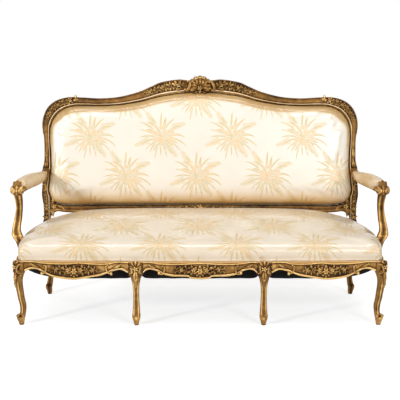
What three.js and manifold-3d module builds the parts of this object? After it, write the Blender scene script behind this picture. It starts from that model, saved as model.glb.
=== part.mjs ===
import * as THREE from 'three';
import { mergeVertices } from 'three/addons/utils/BufferGeometryUtils.js';
import Module from 'manifold-3d';

// A carved and gilded three-bay canape with a serpentine crest, open padded arms, four cabriole
// legs in front and two behind. Millimetres; X along the seat, Y to the back, Z up.
// Y is zero on the axis of the corner legs until the whole sofa is centred at the end.

const wasm = await Module();
wasm.setup();

// Clearances.
const gap = 0.3; // glue line between wooden pieces
const softGap = 1; // room between upholstery and the wood beside it
const overrun = 6; // how far a cutter passes the face that it cuts

// Seat frame.
const railTop = 300;
const seatHalfWidth = 862; // middle of the seat to the outer face of a corner leg
const seatDepth = 607; // corner leg axis to the face of the back, at hingeHeight
const cornerLegWidth = 48;
const cornerLegSwing = 12; // how far the corner leg's line leaves its block
const midLegSpacing = 594;
const midLegWidth = 66;
const midLegDepth = 60;
const midLegSwing = 16;
const frontRailInset = 14; // back of the front rails from the back face of the corner legs
const frontReveal = 4; // front rail's face behind the leg's face
const frontBow = 18; // how far the front line swells towards the middle
const frontRelief = 7; // height of the carved edge mouldings
const sideRailThickness = 28;
const sideBow = 20;
const rearRailThickness = 26;
const rearRailHeight = 60;
const rearRailInset = 6;
const braceWidth = 32;
const braceHeight = 40;
const cornerBlockReach = 66;
const cornerBlockHeight = 22;
const tenonLength = 18;
const tenonThickness = 10;
const tenonInset = 8; // tenon's cheek from the back of its rail
const tenonShoulder = 8;

// Back frame. Its face leans on a plane that crosses seatDepth at hingeHeight.
const hingeHeight = 420;
const backRake = THREE.MathUtils.degToRad(9);
const backInset = 52; // outer edge of the back inside the seat's outer face
const backRise = 692; // hinge line to the top of the crest rail, along the rake
const frameThickness = 38;
const frameRelief = 8; // part of the thickness that stands in front of the face plane
const jointRiseShare = 0.603; // crest rail meets the posts here
const postShare = 0.968; // middle of the post's block
const stileInnerShare = -0.45; // inner face of the post where the lower rail meets it
const openingCornerShare = 0.121; // top of the lower rail's end
const postBlockWidth = 36;
const postBlockDepth = 38;
const postBlockSetback = 15; // front of the post's block from the face plane
const rearLegSwing = 12;
const dowelRadius = 5;
const dowelLength = 56;

// Arms.
const handRestOffset = 4; // middle of the hand rest outside the seat's outer face
const armTipSetback = 117; // tip of the hand rest behind the back of the corner leg
const armClearance = 169; // underside of the arm above the hinge line
const armThickness = 28;
const armWidth = 44;
const armJointRise = 215; // arm's axis at the post, along the rake
const armPadHeight = 33;
const armPadWidth = 62;
const supportWidth = 40;
const supportDepth = 36;
const supportSwing = 17; // how far the support bows outwards
const supportSweep = 20; // how far the support bows to the back
const supportBack = 182; // middle of the support's foot from the back of the corner leg
const supportTopSetback = 42; // middle of the support's top from the tip of the hand rest
const supportTenonWidth = 14;
const supportTenonHeight = 14;
const screwHeadRadius = 5;
const screwHeadHeight = 4;
const screwShankRadius = 2.5;
const armScrewLength = 64;
const supportScrewLength = 80;
const supportScrewRecess = 16;

// Upholstery.
const cushionSetback = 4; // seat cover behind the face of the rails
const cushionRearShare = 1.317; // height of the stuffing behind as a share of the hinge line's
const cushionFrontShare = 0.658; // height of the stuffing in front as a share of that behind
const cushionBackReach = 13; // seat cover's rear edge past the face plane of the back
const cushionCornerRound = 30;
const cushionSpineShare = 0.63; // half of the crown's ridge as a share of seatHalfWidth
const sideFallFrontShare = 0.08; // how much of its height the seat loses at the sides in front
const sideFallRearShare = 0.32; // and behind
const crownShare = 0.6; // way to the back at which the seat reaches its full height
const padDepth = 39; // crown of the back pad in front of the face plane
const padBack = 12; // back of the pad behind the face plane
const sheetThickness = 2;
const panelSetback = 3;
const gimpHeight = 8;
const gimpThickness = 2.5;
const gimpSpacing = 2; // back of the gimp in front of the seat cover's foot
const strapWidth = 50;
const strapThickness = 2;
const strapBite = 0.2; // how far crossing straps press into each other
const strapEdge = 98; // middle of the outermost strap from the rear end of the side rail
const seatStrapCount = 9;
const backStrapEdge = 290; // middle of the outermost back strap from the middle of the post
const backStrapCount = 5;
const webbingDrop = 28; // underside of the webbing below the top of the rails
const springRadius = 36;
const springWaistShare = 0.55;
const springSides = 8;
const springCount = 7;
const springEdge = 80; // middle of the outermost spring from the rear end of the side rail
const springRowShares = [0.19, 0.5, 0.81];
const backStrapShares = [0.16, 0.42, 0.69];
const twineThickness = 3;
const springPress = 9; // stuffing between the springs and the cloth over them
const coverDrop = 32; // edge of the black dust cover below the top of the rails
const coverSag = 61;
const coverThickness = 3;

// Carved shell on the crest.
const shellRadius = 68;
const shellThickness = 6;
const shellBevel = 5;
const shellLobes = 9;
const shellLobeShare = 0.1; // depth of the notches between the lobes
const shellFlankShare = 0.14; // how much narrower the fan is at its flanks
const shellDip = THREE.MathUtils.degToRad(22); // how far the flanks curl below the centre
const shellCentreDrop = 51; // centre of the fan below the top of the back

// Places worked out from the sizes above.
const backHalfWidth = seatHalfWidth - backInset;
const armHalfSpan = seatHalfWidth + handRestOffset;
const armBottom = hingeHeight + armClearance;
const cushionRearHeight = cushionRearShare * (hingeHeight - railTop);
const cushionFrontHeight = cushionFrontShare * cushionRearHeight;
const cornerLegX = seatHalfWidth - cornerLegWidth / 2;
const cornerInnerX = seatHalfWidth - cornerLegWidth;
const midLegX = midLegSpacing / 2;
const midOuterX = midLegX + midLegWidth / 2;
const midInnerX = midLegX - midLegWidth / 2;
const frontRailBack = cornerLegWidth / 2 - frontRailInset;
const midLegY = frontRailBack - midLegDepth / 2;
const postX = backHalfWidth * postShare;
const postInnerX = postX - postBlockWidth / 2;
const postBlockFront = seatDepth - postBlockSetback;
const postBlockY = postBlockFront + postBlockDepth / 2;
const rearRailFront = postBlockFront + rearRailInset;
const sideRailStart = cornerLegWidth / 2 + gap;
const sideRailEnd = postBlockFront - gap;
const webbingBottom = railTop - webbingDrop;
const webbingTop = webbingBottom + 2 * strapThickness - strapBite;
const cushionBase = railTop + gap;
const cushionBack = seatDepth + cushionBackReach;
const frameBack = frameThickness - frameRelief;
const lowerRailEndX = postX + postBlockWidth * stileInnerShare - gap;
const jointRise = backRise * jointRiseShare;

// Outlines, as shares of the sizes that they follow.
// Crest rail, middle to joint: outer x, outer rise, inner x, inner rise.
const crestShares = [
  [0, 0.988, 0, 0.903], [0.074, 0.988, 0.074, 0.899], [0.14, 0.994, 0.14, 0.891],
  [0.246, 0.974, 0.235, 0.874], [0.31, 0.942, 0.296, 0.857], [0.391, 0.902, 0.378, 0.832],
  [0.512, 0.866, 0.507, 0.808], [0.633, 0.855, 0.633, 0.801], [0.741, 0.861, 0.733, 0.803],
  [0.833, 0.863, 0.81, 0.798], [0.911, 0.838, 0.874, 0.77], [0.963, 0.789, 0.915, 0.727],
  [0.99, 0.725, 0.941, 0.673], [0.999, 0.662, 0.951, 0.63],
];
// Lower back rail, middle to post: x and rise of the bottom edge, x and rise of the top edge.
const lowerRailShares = [
  [0, 0.03, 0, 0.066], [0.26, 0.027, 0.26, 0.066], [0.535, 0.019, 0.535, 0.065],
  [0.729, 0.01, 0.729, 0.064], [0.82, 0.007, 0.818, 0.062], [0.898, 0.01, 0.893, 0.065],
  [0.948, 0.017, 0.94, 0.072], [0.974, 0.009, 0.969, 0.082], [0.99, -0.004, 0.987, 0.098],
  [1, -0.023, 1, openingCornerShare],
];
// Stile of the back post, joint to seat: rise, then outer and inner edge from the post's middle as
// shares of postBlockWidth.
const stileShares = [
  [jointRiseShare, 0.608, -0.36], [0.555, 0.428, -0.36], [0.431, 0.383, -0.495],
  [0.379, 0.45, -0.54], [0.341, 0.63, -0.54], [0.311, 0.675, -0.473], [0.267, 0.585, -0.36],
  [0.23, 0.675, -0.27], [0.175, 0.742, -0.18], [0.145, 0.765, -0.293],
  [openingCornerShare, 0.72, stileInnerShare], [0.058, 0.517, stileInnerShare],
  [-0.023, 0.472, stileInnerShare], [-0.058, 0.585, -0.495],
];
// Rear leg, block to floor: height, swing outwards, swing to the back, half width, half depth.
const rearLegShares = [
  [1, 0, 0, 1, 1], [0.853, 0, 0, 1, 1], [0.8, 0, 0, 1, 0.95],
  [0.667, -0.42, -0.17, 1, 0.84], [0.533, -0.75, -0.2, 0.95, 0.79], [0.4, -0.92, 0, 0.9, 0.75],
  [0.28, -0.83, 0.2, 0.84, 0.74], [0.183, -0.5, 0, 0.89, 0.78], [0.14, -0.17, -0.3, 1, 0.9],
  [0.1, -0.12, -0.4, 0.92, 0.85], [0.04, -0.42, -0.6, 0.72, 0.7], [0, -0.42, -0.7, 0.6, 0.6],
];
// Corner leg: height, swing outwards on the diagonal, half width.
const cornerLegShares = [
  [1, 0, 1], [0.853, 0, 1], [0.8, 0.15, 0.875], [0.72, 0.42, 0.77], [0.617, 0.25, 0.71],
  [0.5, -0.125, 0.667], [0.417, -0.375, 0.646], [0.333, -0.79, 0.625], [0.267, -0.92, 0.604],
  [0.2, -0.83, 0.56], [0.167, -0.58, 0.625], [0.133, -0.17, 0.79], [0.1, -0.08, 0.75],
  [0.067, -0.17, 0.625], [0.04, -0.21, 0.54], [0, -0.25, 0.5],
];
// Middle leg: height, swing to the back, half width, half depth.
const midLegShares = [
  [1, 0, 1, 1], [0.833, 0, 1, 1], [0.8, -0.12, 0.85, 0.9], [0.747, -0.12, 0.667, 0.73],
  [0.633, 0.125, 0.47, 0.55], [0.463, 0.69, 0.424, 0.48], [0.333, 1.12, 0.455, 0.48],
  [0.283, 1.19, 0.485, 0.5], [0.2, 1, 0.53, 0.57], [0.15, 0.81, 0.576, 0.63],
  [0.1, 0.75, 0.53, 0.57], [0.06, 0.81, 0.42, 0.47], [0, 0.87, 0.333, 0.4],
];
// Front rail of a side bay, middle leg to corner leg: way along, height of the lower edge.
const sideBayShares = [
  [0, 0.847], [0.074, 0.9], [0.147, 0.88], [0.202, 0.847], [0.269, 0.807], [0.372, 0.777],
  [0.442, 0.757], [0.5, 0.743], [0.574, 0.743], [0.649, 0.757], [0.721, 0.78], [0.789, 0.827],
  [0.837, 0.87], [0.882, 0.903], [0.94, 0.902], [1, 0.867],
];
// Front rail of the middle bay, middle to middle leg: way along, height of the lower edge.
const middleBayShares = [
  [0, 0.753], [0.159, 0.763], [0.212, 0.793], [0.341, 0.797], [0.477, 0.8], [0.568, 0.813],
  [0.636, 0.83], [0.769, 0.887], [0.875, 0.907], [0.947, 0.89], [1, 0.847],
];
// Side rail, corner leg to post: way along, blend from leg to post, bow, lower edge.
const sideRailShares = [
  [0, 0, 0, 0.873], [0.08, 0.02, 0.36, 0.9], [0.17, 0.05, 0.7, 0.86], [0.33, 0.14, 0.95, 0.8],
  [0.55, 0.36, 0.9, 0.79], [0.78, 0.7, 0.5, 0.83], [0.92, 0.9, 0.17, 0.87], [1, 1, 0, 0.86],
];
// Front of a seat rail, lower edge to top: height, relief.
const railReliefShares = [
  [0, 0.3], [0.05, 1], [0.16, 1], [0.24, 0.3], [0.55, 0.75], [0.88, 0.4], [0.93, 0.9], [1, 0.6],
];
// Face of the back frame, outer edge to inner edge: way across, relief.
const frameReliefShares = [[0, 0.25], [0.13, 1], [0.34, 0.5], [0.66, 0.5], [0.87, 1], [1, 0.25]];
// Arm, tip to post: way along, blend to the post, underside, top, half width.
const armShares = [
  [0, 0, 0.464, 1.036, 0.73], [0.004, 0, 0.286, 1.286, 1.14], [0.018, 0, 0.09, 1.55, 1.45],
  [0.049, 0, 0, 1.625, 1.52], [0.1, 0, 0, 1.48, 1.36], [0.13, 0, 0, 1.25, 1.18],
  [0.18, 0.04, 0, 1.05, 1.045], [0.322, 0.17, 0, 1, 1], [0.525, 0.41, 0, 1, 1],
  [0.728, 0.684, 0.07, 1.071, 0.955], [0.88, 0.88, 0.393, 1.536, 0.91],
  [0.96, 0.987, 0.714, 2.143, 0.82], [1, 1, 0.786, 2.357, 0.77],
];
// Arm pad, front to back: way along the arm, height, half width.
const armPadShares = [
  [0.19, 0.25, 0.45], [0.197, 0.58, 0.7], [0.212, 0.86, 0.87], [0.24, 1.03, 0.97],
  [0.285, 1.14, 1], [0.35, 1.2, 1], [0.43, 1.22, 1], [0.525, 1.19, 1], [0.625, 1.1, 0.98],
  [0.728, 0.92, 0.94], [0.8, 0.72, 0.87], [0.86, 0.45, 0.76], [0.9, 0.25, 0.66], [0.92, 0.12, 0.5],
];
// Half of the arm pad's section: half width, height.
const armPadSectionShares = [[0.72, 0], [0.96, 0.16], [1, 0.4], [0.88, 0.72], [0.55, 0.93], [0, 1]];
// Arm support, foot to top: height, blend to the arm, bow, sweep, half width, half depth.
const supportShares = [
  [0, 0, 0, 0, 1, 1], [0.173, 0.3, 0.36, 0.2, 1.1, 1], [0.266, 0.45, 0.9, 0.2, 1.25, 1.05],
  [0.328, 0.55, 1.2, 0.48, 1.22, 1.05], [0.38, 0.6, 1.28, 0.84, 1.05, 1],
  [0.46, 0.7, 1.08, 1.35, 0.975, 0.9], [0.567, 0.8, 0.62, 1.67, 0.925, 0.84],
  [0.747, 0.9, 0.05, 1.43, 0.825, 0.84], [0.882, 0.95, -0.1, 0.64, 0.9, 0.89],
  [1, 1, 0, 0, 1.02, 0.95],
];
// Seat cover, edge to crown: size of the ring, height.
const cushionShares = [
  [1, 0], [1, 0.11], [1.014, 0.24], [1.02, 0.4], [1.015, 0.56], [0.995, 0.71], [0.96, 0.83],
  [0.91, 0.92], [0.82, 0.98], [0.65, 1], [0.4, 1], [0.12, 1],
];
// Hollow over the springs, crown to edge: size of the ring, height.
const hollowShares = [[0.3, 0.6], [0.6, 0.6], [0.78, 0.6], [0.84, 0.48], [0.86, 0.25], [0.86, 0]];
const burlapRingShares = [0.3, 0.6, 0.78];
const burlapHeightShare = 0.6;
// Back pad, back to crown: size of the ring, depth as a share of padDepth, to the front.
const padShares = [
  [1, 0], [0.985, 0.31], [0.96, 0.56], [0.92, 0.74], [0.87, 0.85], [0.75, 0.92], [0.5, 0.97],
  [0.25, 1],
];
// Where the dust cover's net of points lies across a bay.
const coverShares = [0, 0.026, 0.08, 0.3, 0.7, 0.92, 0.974, 1];

// Solids.

/** Outward closed skin over rings of points, with flat ends. */
function skin(rings) {
  const count = rings[0].length;
  const points = rings.flat();
  const faces = [];
  for (let i = 0; i + 1 < rings.length; i++) {
    for (let j = 0; j < count; j++) {
      const a = i * count + j;
      const b = i * count + ((j + 1) % count);
      faces.push(a, b, b + count, a, b + count, a + count);
    }
  }
  const last = (rings.length - 1) * count;
  for (const [a, b, c] of capFaces(rings[0])) faces.push(c, b, a);
  for (const [a, b, c] of capFaces(rings[rings.length - 1])) faces.push(last + a, last + b, last + c);
  return outward(points, faces);
}

/** Triangles over one ring, in the ring's own order. */
function capFaces(ring) {
  const normal = new THREE.Vector3();
  ring.forEach((p, i) => normal.add(new THREE.Vector3().crossVectors(p, ring[(i + 1) % ring.length])));
  const size = normal.toArray().map(Math.abs);
  const drop = size.indexOf(Math.max(...size));
  const [u, v] = [0, 1, 2].filter((axis) => axis !== drop);
  const flat = ring.map((p) => new THREE.Vector2(p.getComponent(u), p.getComponent(v)));
  const forward = THREE.ShapeUtils.area(flat) > 0;
  const faces = THREE.ShapeUtils.triangulateShape(forward ? flat : flat.slice().reverse(), []);
  if (forward) return faces;
  return faces.map((face) => face.map((k) => ring.length - 1 - k).reverse());
}

/** Geometry of points and faces, turned so that its volume is positive. */
function outward(points, faces) {
  let volume = 0;
  for (let k = 0; k < faces.length; k += 3) {
    const [a, b, c] = [points[faces[k]], points[faces[k + 1]], points[faces[k + 2]]];
    volume += a.dot(new THREE.Vector3().crossVectors(b, c));
  }
  const geometry = new THREE.BufferGeometry().setFromPoints(points);
  geometry.setIndex(volume < 0 ? faces.slice().reverse() : faces);
  return geometry;
}

function toSolid(geometry) {
  const bare = geometry.clone();
  bare.deleteAttribute('normal');
  bare.deleteAttribute('uv');
  const merged = mergeVertices(bare);
  const vertProperties = Float32Array.from(merged.attributes.position.array);
  const triVerts = Uint32Array.from(merged.index.array);
  return new wasm.Manifold(new wasm.Mesh({ numProp: 3, vertProperties, triVerts }));
}

function toGeometry(solid) {
  const mesh = solid.getMesh();
  const geometry = new THREE.BufferGeometry();
  geometry.setAttribute('position', new THREE.BufferAttribute(mesh.vertProperties, 3));
  geometry.setIndex(new THREE.BufferAttribute(mesh.triVerts, 1));
  return geometry;
}

function join(...geometries) {
  return toGeometry(geometries.map(toSolid).reduce((whole, next) => whole.add(next)));
}

function cut(geometry, ...cutters) {
  const whole = toSolid(geometry);
  return toGeometry(cutters.map(toSolid).reduce((rest, next) => rest.subtract(next), whole));
}

function overlap(first, second) {
  return toGeometry(toSolid(first).intersect(toSolid(second)));
}

/** Box between two corners, swollen by room on every side. */
function block(from, to, room = 0) {
  const box = new THREE.Box3(new THREE.Vector3(...from), new THREE.Vector3(...to)).expandByScalar(room);
  const size = box.getSize(new THREE.Vector3());
  const centre = box.getCenter(new THREE.Vector3());
  return new THREE.BoxGeometry(size.x, size.y, size.z).translate(centre.x, centre.y, centre.z);
}

function mirrored(geometry) {
  const copy = geometry.clone().scale(-1, 1, 1);
  copy.setIndex(Array.from(copy.index.array).reverse());
  return copy;
}

function curveThrough(points) {
  return new THREE.CatmullRomCurve3(points, false, 'catmullrom', 0.5);
}

/** Value at x on the polyline through rows of [x, value]. */
function along(rows, x) {
  const at = rows.findIndex((row, i) => i > 0 && x <= row[0]);
  const i = at < 0 ? rows.length - 1 : at;
  const [[x0, v0], [x1, v1]] = [rows[i - 1], rows[i]];
  return THREE.MathUtils.lerp(v0, v1, (x - x0) / (x1 - x0));
}

const turn = Math.PI / 4;
const grooveShare = 0.4;

/**
 * Rounded rectangle with a channel down its front. across is the direction of its width, through
 * the direction from its front to its back.
 */
function sectionRing(centre, across, through, halfWidth, halfDepth, roundShare, grooveDepth) {
  const round = roundShare * Math.min(halfWidth, halfDepth);
  const flat = [];
  const corner = (side, face, start) => {
    for (let k = 0; k <= 2; k += face < 0 ? 1 : 2) {
      const angle = start + k * turn;
      flat.push([
        side * (halfWidth - round) + round * Math.cos(angle),
        face * (halfDepth - round) + round * Math.sin(angle),
      ]);
    }
  };
  corner(-1, -1, 4 * turn);
  flat.push([-grooveShare * halfWidth, -halfDepth], [0, grooveDepth - halfDepth]);
  flat.push([grooveShare * halfWidth, -halfDepth]);
  corner(1, -1, 6 * turn);
  corner(1, 1, 0);
  corner(-1, 1, 2 * turn);
  return flat.map(([a, b]) => centre.clone().addScaledVector(across, a).addScaledVector(through, b));
}

const alongX = new THREE.Vector3(1, 0, 0);
const alongY = new THREE.Vector3(0, 1, 0);
const alongZ = new THREE.Vector3(0, 0, 1);
const backMatrix = new THREE.Matrix4().makeRotationX(-backRake).setPosition(0, seatDepth, hingeHeight);

/** World point at a width, a rise and a depth in the leaning frame of the back. */
function onBack(x, rise, depth) {
  return new THREE.Vector3(x, depth, rise).applyMatrix4(backMatrix);
}

// Looks.
const looks = {
  gilt: { color: 0xb48c46, roughness: 0.42, metalness: 0.75 },
  damask: { color: 0xefe2c6, roughness: 0.5, metalness: 0 },
  blackCloth: { color: 0x14120f, roughness: 0.95, metalness: 0 },
  beech: { color: 0xb58b5e, roughness: 0.7, metalness: 0 },
  jute: { color: 0xa98f62, roughness: 0.95, metalness: 0 },
  steel: { color: 0x8d8c88, roughness: 0.35, metalness: 0.9 },
};

function addPiece(parent, name, geometry, look) {
  geometry.computeVertexNormals();
  const mesh = new THREE.Mesh(geometry, new THREE.MeshStandardMaterial(looks[look]));
  mesh.name = name;
  parent.add(mesh);
}

/** The right-hand piece and its mirror image on the left. */
function addPair(parent, name, geometry, look) {
  addPiece(parent, `${name}_right`, geometry, look);
  addPiece(parent, `${name}_left`, mirrored(geometry), look);
}

// Front of the seat.

/** Face of the front rails, in front of the relief. */
function frontFaceY(x) {
  return frontReveal - cornerLegWidth / 2 - frontBow * (1 - (x / cornerInnerX) ** 2);
}

/** Seat rail over rows of [place, lower edge]: frame gives a ring's point from height and relief. */
function seatRail(rows, frame) {
  return skin(rows.map((row) => {
    const heights = railReliefShares.map(([heightShare, reliefShare]) => (
      [THREE.MathUtils.lerp(row[1], railTop, heightShare), reliefShare * frontRelief]));
    const face = heights.map(([z, relief]) => frame(row, z, relief, false));
    return [...face, frame(row, railTop, 0, true), frame(row, row[1], 0, true)];
  }));
}

function frontRail(rows) {
  return seatRail(rows, (row, z, relief, back) => (
    new THREE.Vector3(row[0], back ? frontRailBack : frontFaceY(row[0]) - relief, z)));
}

/** Tenon of a front rail between two places along X. */
function frontTenon(fromX, toX, lowerEdge, room = 0) {
  const back = frontRailBack - tenonInset;
  return block(
    [fromX, back - tenonThickness, lowerEdge + tenonShoulder],
    [toX, back, railTop - tenonShoulder],
    room,
  );
}

const sideBayStart = midOuterX + gap;
const sideBayEnd = cornerInnerX - gap;
const sideBayRows = sideBayShares.map(([way, height]) => (
  [THREE.MathUtils.lerp(sideBayStart, sideBayEnd, way), height * railTop]));
const middleBayHalf = middleBayShares.map(([way, height]) => (
  [way * (midInnerX - gap), height * railTop]));
const middleBayRows = [
  ...middleBayHalf.slice(1).reverse().map(([x, z]) => [-x, z]),
  ...middleBayHalf,
];
const sideBayInnerEdge = sideBayRows[0][1];
const sideBayOuterEdge = sideBayRows[sideBayRows.length - 1][1];
const middleBayEdge = middleBayRows[0][1];

function sideBayRail() {
  return join(
    frontRail(sideBayRows),
    frontTenon(sideBayStart - tenonLength, sideBayStart + overrun, sideBayInnerEdge),
    frontTenon(sideBayEnd - overrun, sideBayEnd + tenonLength, sideBayOuterEdge),
  );
}

function middleBayRail() {
  const tenon = frontTenon(midInnerX - gap - overrun, midInnerX - gap + tenonLength, middleBayEdge);
  return join(frontRail(middleBayRows), tenon, mirrored(tenon));
}

const legRoundShare = 0.34;
const blockRoundShare = 0.12;
const grooveDepth = 2.5;

/** Cabriole leg: square in its block, rounded and channelled below. */
function leg(rows, place) {
  return skin(rows.map((row, i) => {
    const { centre, halfWidth, halfDepth } = place(row);
    const inBlock = i < 2;
    const round = inBlock ? blockRoundShare : legRoundShare;
    const groove = inBlock || row[0] === 0 ? 0 : grooveDepth;
    return sectionRing(centre, alongX, alongY, halfWidth, halfDepth, round, groove);
  }));
}

function cornerLeg() {
  const solid = leg(cornerLegShares, ([height, swing, half]) => ({
    centre: new THREE.Vector3(
      cornerLegX + cornerLegSwing * swing, -cornerLegSwing * swing, railTop * height),
    halfWidth: half * cornerLegWidth / 2,
    halfDepth: half * cornerLegWidth / 2,
  }));
  return cut(
    solid,
    frontTenon(cornerInnerX - overrun, sideBayEnd + tenonLength, sideBayOuterEdge, gap),
    sideTenon(-1, gap),
  );
}

function midLeg() {
  const solid = leg(midLegShares, ([height, swing, wide, deep]) => ({
    centre: new THREE.Vector3(midLegX, midLegY + midLegSwing * swing, railTop * height),
    halfWidth: wide * midLegWidth / 2,
    halfDepth: deep * midLegDepth / 2,
  }));
  return cut(
    solid,
    frontTenon(sideBayStart - tenonLength, midOuterX + overrun, sideBayInnerEdge, gap),
    frontTenon(midInnerX - overrun, midInnerX - gap + tenonLength, middleBayEdge, gap),
    braceTenon(-1, gap),
  );
}

// Sides and rear of the seat frame.

const sideRailRows = sideRailShares.map(([way, blend, bow, height]) => [
  THREE.MathUtils.lerp(sideRailStart, sideRailEnd, way),
  height * railTop,
  THREE.MathUtils.lerp(cornerLegX, postX, blend) + sideBow * bow,
]);

/** Middle of the side rail's thickness at a depth. */
function sideRailX(y) {
  return along(sideRailRows.map(([rowY, , x]) => [rowY, x]), y);
}

/** Least distance from the middle to the inner face of the side rail between two depths. */
function innerReach(fromY, toY) {
  return Math.min(sideRailX(fromY), sideRailX(toY)) - sideRailThickness / 2;
}

/** Tenon of the side rail: -1 for the one in the corner leg, 1 for the one in the post. */
function sideTenon(end, room = 0) {
  const rail = sideRailRows[end < 0 ? 0 : sideRailRows.length - 1];
  const from = rail[0] - end * overrun;
  const to = rail[0] + end * tenonLength;
  return block(
    [rail[2] - tenonThickness / 2, Math.min(from, to), rail[1] + tenonShoulder],
    [rail[2] + tenonThickness / 2, Math.max(from, to), railTop - tenonShoulder],
    room,
  );
}

function supportScrewHole(room = 0) {
  return screwAt(supportScrewLength, room, supportScrewRecess)
    .rotateX(-Math.PI / 2)
    .translate(supportFootX, supportFootY, supportScrewBottom);
}

function sideRail() {
  const rail = seatRail(sideRailRows, (row, z, relief, inside) => (
    new THREE.Vector3(row[2] + (inside ? -1 : 1) * (sideRailThickness / 2) + relief, row[0], z)));
  return cut(join(rail, sideTenon(-1), sideTenon(1)), supportScrewHole(gap));
}

/** Tenon of the rear rail in the right-hand post. */
function rearTenon(room = 0) {
  const front = rearRailFront + (rearRailThickness - tenonThickness) / 2;
  return block(
    [postInnerX - gap - overrun, front, railTop - rearRailHeight + tenonShoulder],
    [postInnerX - gap + tenonLength / 2, front + tenonThickness, railTop - tenonShoulder],
    room,
  );
}

function rearRail() {
  const half = postInnerX - gap;
  const rail = block(
    [-half, rearRailFront, railTop - rearRailHeight],
    [half, rearRailFront + rearRailThickness, railTop],
  );
  const mortise = braceTenon(1, gap);
  return cut(join(rail, rearTenon(), mirrored(rearTenon())), mortise, mirrored(mortise));
}

const braceTop = webbingBottom - gap;
const braceBottom = braceTop - braceHeight;

/** Tenon of a brace: -1 for the one in the middle leg, 1 for the one in the rear rail. */
function braceTenon(end, room = 0) {
  const face = end < 0 ? frontRailBack + gap : rearRailFront - gap;
  const tip = face + end * (tenonLength - tenonInset);
  const root = face - end * overrun;
  const lowest = Math.max(braceBottom, railTop - rearRailHeight);
  return block(
    [midLegX - tenonThickness / 2, Math.min(root, tip), lowest + tenonShoulder],
    [midLegX + tenonThickness / 2, Math.max(root, tip), braceTop - tenonShoulder],
    room,
  );
}

function brace() {
  const body = block(
    [midLegX - braceWidth / 2, frontRailBack + gap, braceBottom],
    [midLegX + braceWidth / 2, rearRailFront - gap, braceTop],
  );
  return join(body, braceTenon(-1), braceTenon(1));
}

/** Glued block in a corner of the seat frame, over an outline in plan. */
function cornerBlock(outline) {
  const top = railTop - gap;
  const shape = new THREE.Shape(outline.map(([x, y]) => new THREE.Vector2(x, y)));
  const solid = new THREE.ExtrudeGeometry(shape, { depth: cornerBlockHeight, bevelEnabled: false });
  return join(solid.translate(0, 0, top - cornerBlockHeight));
}

function frontCornerBlock() {
  const front = frontRailBack + gap;
  const legSide = cornerInnerX - gap;
  const legBack = cornerLegWidth / 2 + gap;
  const end = sideRailRows[1][0];
  const inside = (y) => sideRailX(y) - sideRailThickness / 2 - gap;
  return cornerBlock([
    [legSide - cornerBlockReach, front], [legSide, front], [legSide, legBack],
    [inside(legBack), legBack], [inside(end), end], [inside(end) - cornerLegWidth / 2, end],
  ]);
}

function rearCornerBlock() {
  const back = rearRailFront - gap;
  const postSide = postInnerX - gap;
  const postFace = postBlockFront - gap;
  const end = sideRailRows[sideRailRows.length - 2][0];
  const inside = (y) => sideRailX(y) - sideRailThickness / 2 - gap;
  return cornerBlock([
    [inside(end) - cornerLegWidth / 2, end], [inside(end), end], [inside(postFace), postFace],
    [postSide, postFace], [postSide, back], [postSide - cornerBlockReach, back],
  ]);
}

// Back frame.

/** Rows of two points each, from the middle outwards, with their mirror image in front of them. */
function bothHalves(rows) {
  const left = rows.slice(1).reverse().map(([x0, s0, x1, s1]) => [-x0, s0, -x1, s1]);
  return [...left, ...rows];
}

const [, jointOuterShare, jointInnerShare] = stileShares[0];
const crestHalf = [
  ...crestShares.map(([x0, s0, x1, s1]) => (
    [x0 * backHalfWidth, s0 * backRise, x1 * backHalfWidth, s1 * backRise])),
  [postX + jointOuterShare * postBlockWidth, jointRise,
    postX + jointInnerShare * postBlockWidth, jointRise],
];
const crestRows = bothHalves(crestHalf);
const crestSteps = 2 * (crestRows.length - 1);
const crestOuter = curveThrough(crestRows.map(([x, s]) => new THREE.Vector3(x, 0, s)));
const crestInner = curveThrough(crestRows.map(([, , x, s]) => new THREE.Vector3(x, 0, s)));

/** Moulded strip of the back frame between an outer and an inner line of points. */
function frameStrip(outerPoints, innerPoints) {
  return skin(outerPoints.map((outer, i) => {
    const at = (way, depth) => outer.clone().lerp(innerPoints[i], way).setY(depth);
    const face = frameReliefShares.map(([way, relief]) => at(way, -relief * frameRelief));
    return [...face, at(1, frameBack), at(0, frameBack)];
  }));
}

const dowelX = postX + (postBlockWidth / 2) * 0.25;
const frameMiddle = (frameBack - frameRelief) / 2;

function dowel(room = 0) {
  return new THREE.CylinderGeometry(dowelRadius + room, dowelRadius + room, dowelLength + 2 * room, 10)
    .rotateX(Math.PI / 2)
    .translate(dowelX, frameMiddle, jointRise);
}

function crestRail() {
  const strip = frameStrip(crestOuter.getPoints(crestSteps), crestInner.getPoints(crestSteps));
  return cut(strip, dowel(gap), mirrored(dowel(gap)));
}

const lowerRows = lowerRailShares.map(([x0, s0, x1, s1]) => (
  [x0 * lowerRailEndX, s0 * backRise, x1 * lowerRailEndX, s1 * backRise]));
const lowerRowsWhole = bothHalves(lowerRows);

/** Tenon of the lower back rail in the right-hand post. */
function lowerTenon(room = 0) {
  const [, endBottom, , endTop] = lowerRows[lowerRows.length - 1];
  const depth = frameMiddle - tenonThickness / 2;
  return block(
    [lowerRailEndX - overrun, depth, endBottom + 2 * tenonShoulder],
    [lowerRailEndX + tenonLength, depth + tenonThickness, endTop - 2 * tenonShoulder],
    room,
  );
}

function lowerBackRail() {
  const strip = frameStrip(
    lowerRowsWhole.map(([x, s]) => new THREE.Vector3(x, 0, s)),
    lowerRowsWhole.map(([, , x, s]) => new THREE.Vector3(x, 0, s)),
  );
  return join(strip, lowerTenon(), mirrored(lowerTenon()));
}

const leanUp = new THREE.Vector3(0, Math.sin(backRake), Math.cos(backRake));
const leanBack = new THREE.Vector3(0, Math.cos(backRake), -Math.sin(backRake));
const postFrontRelief = frameRelief * 0.75;

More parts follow.
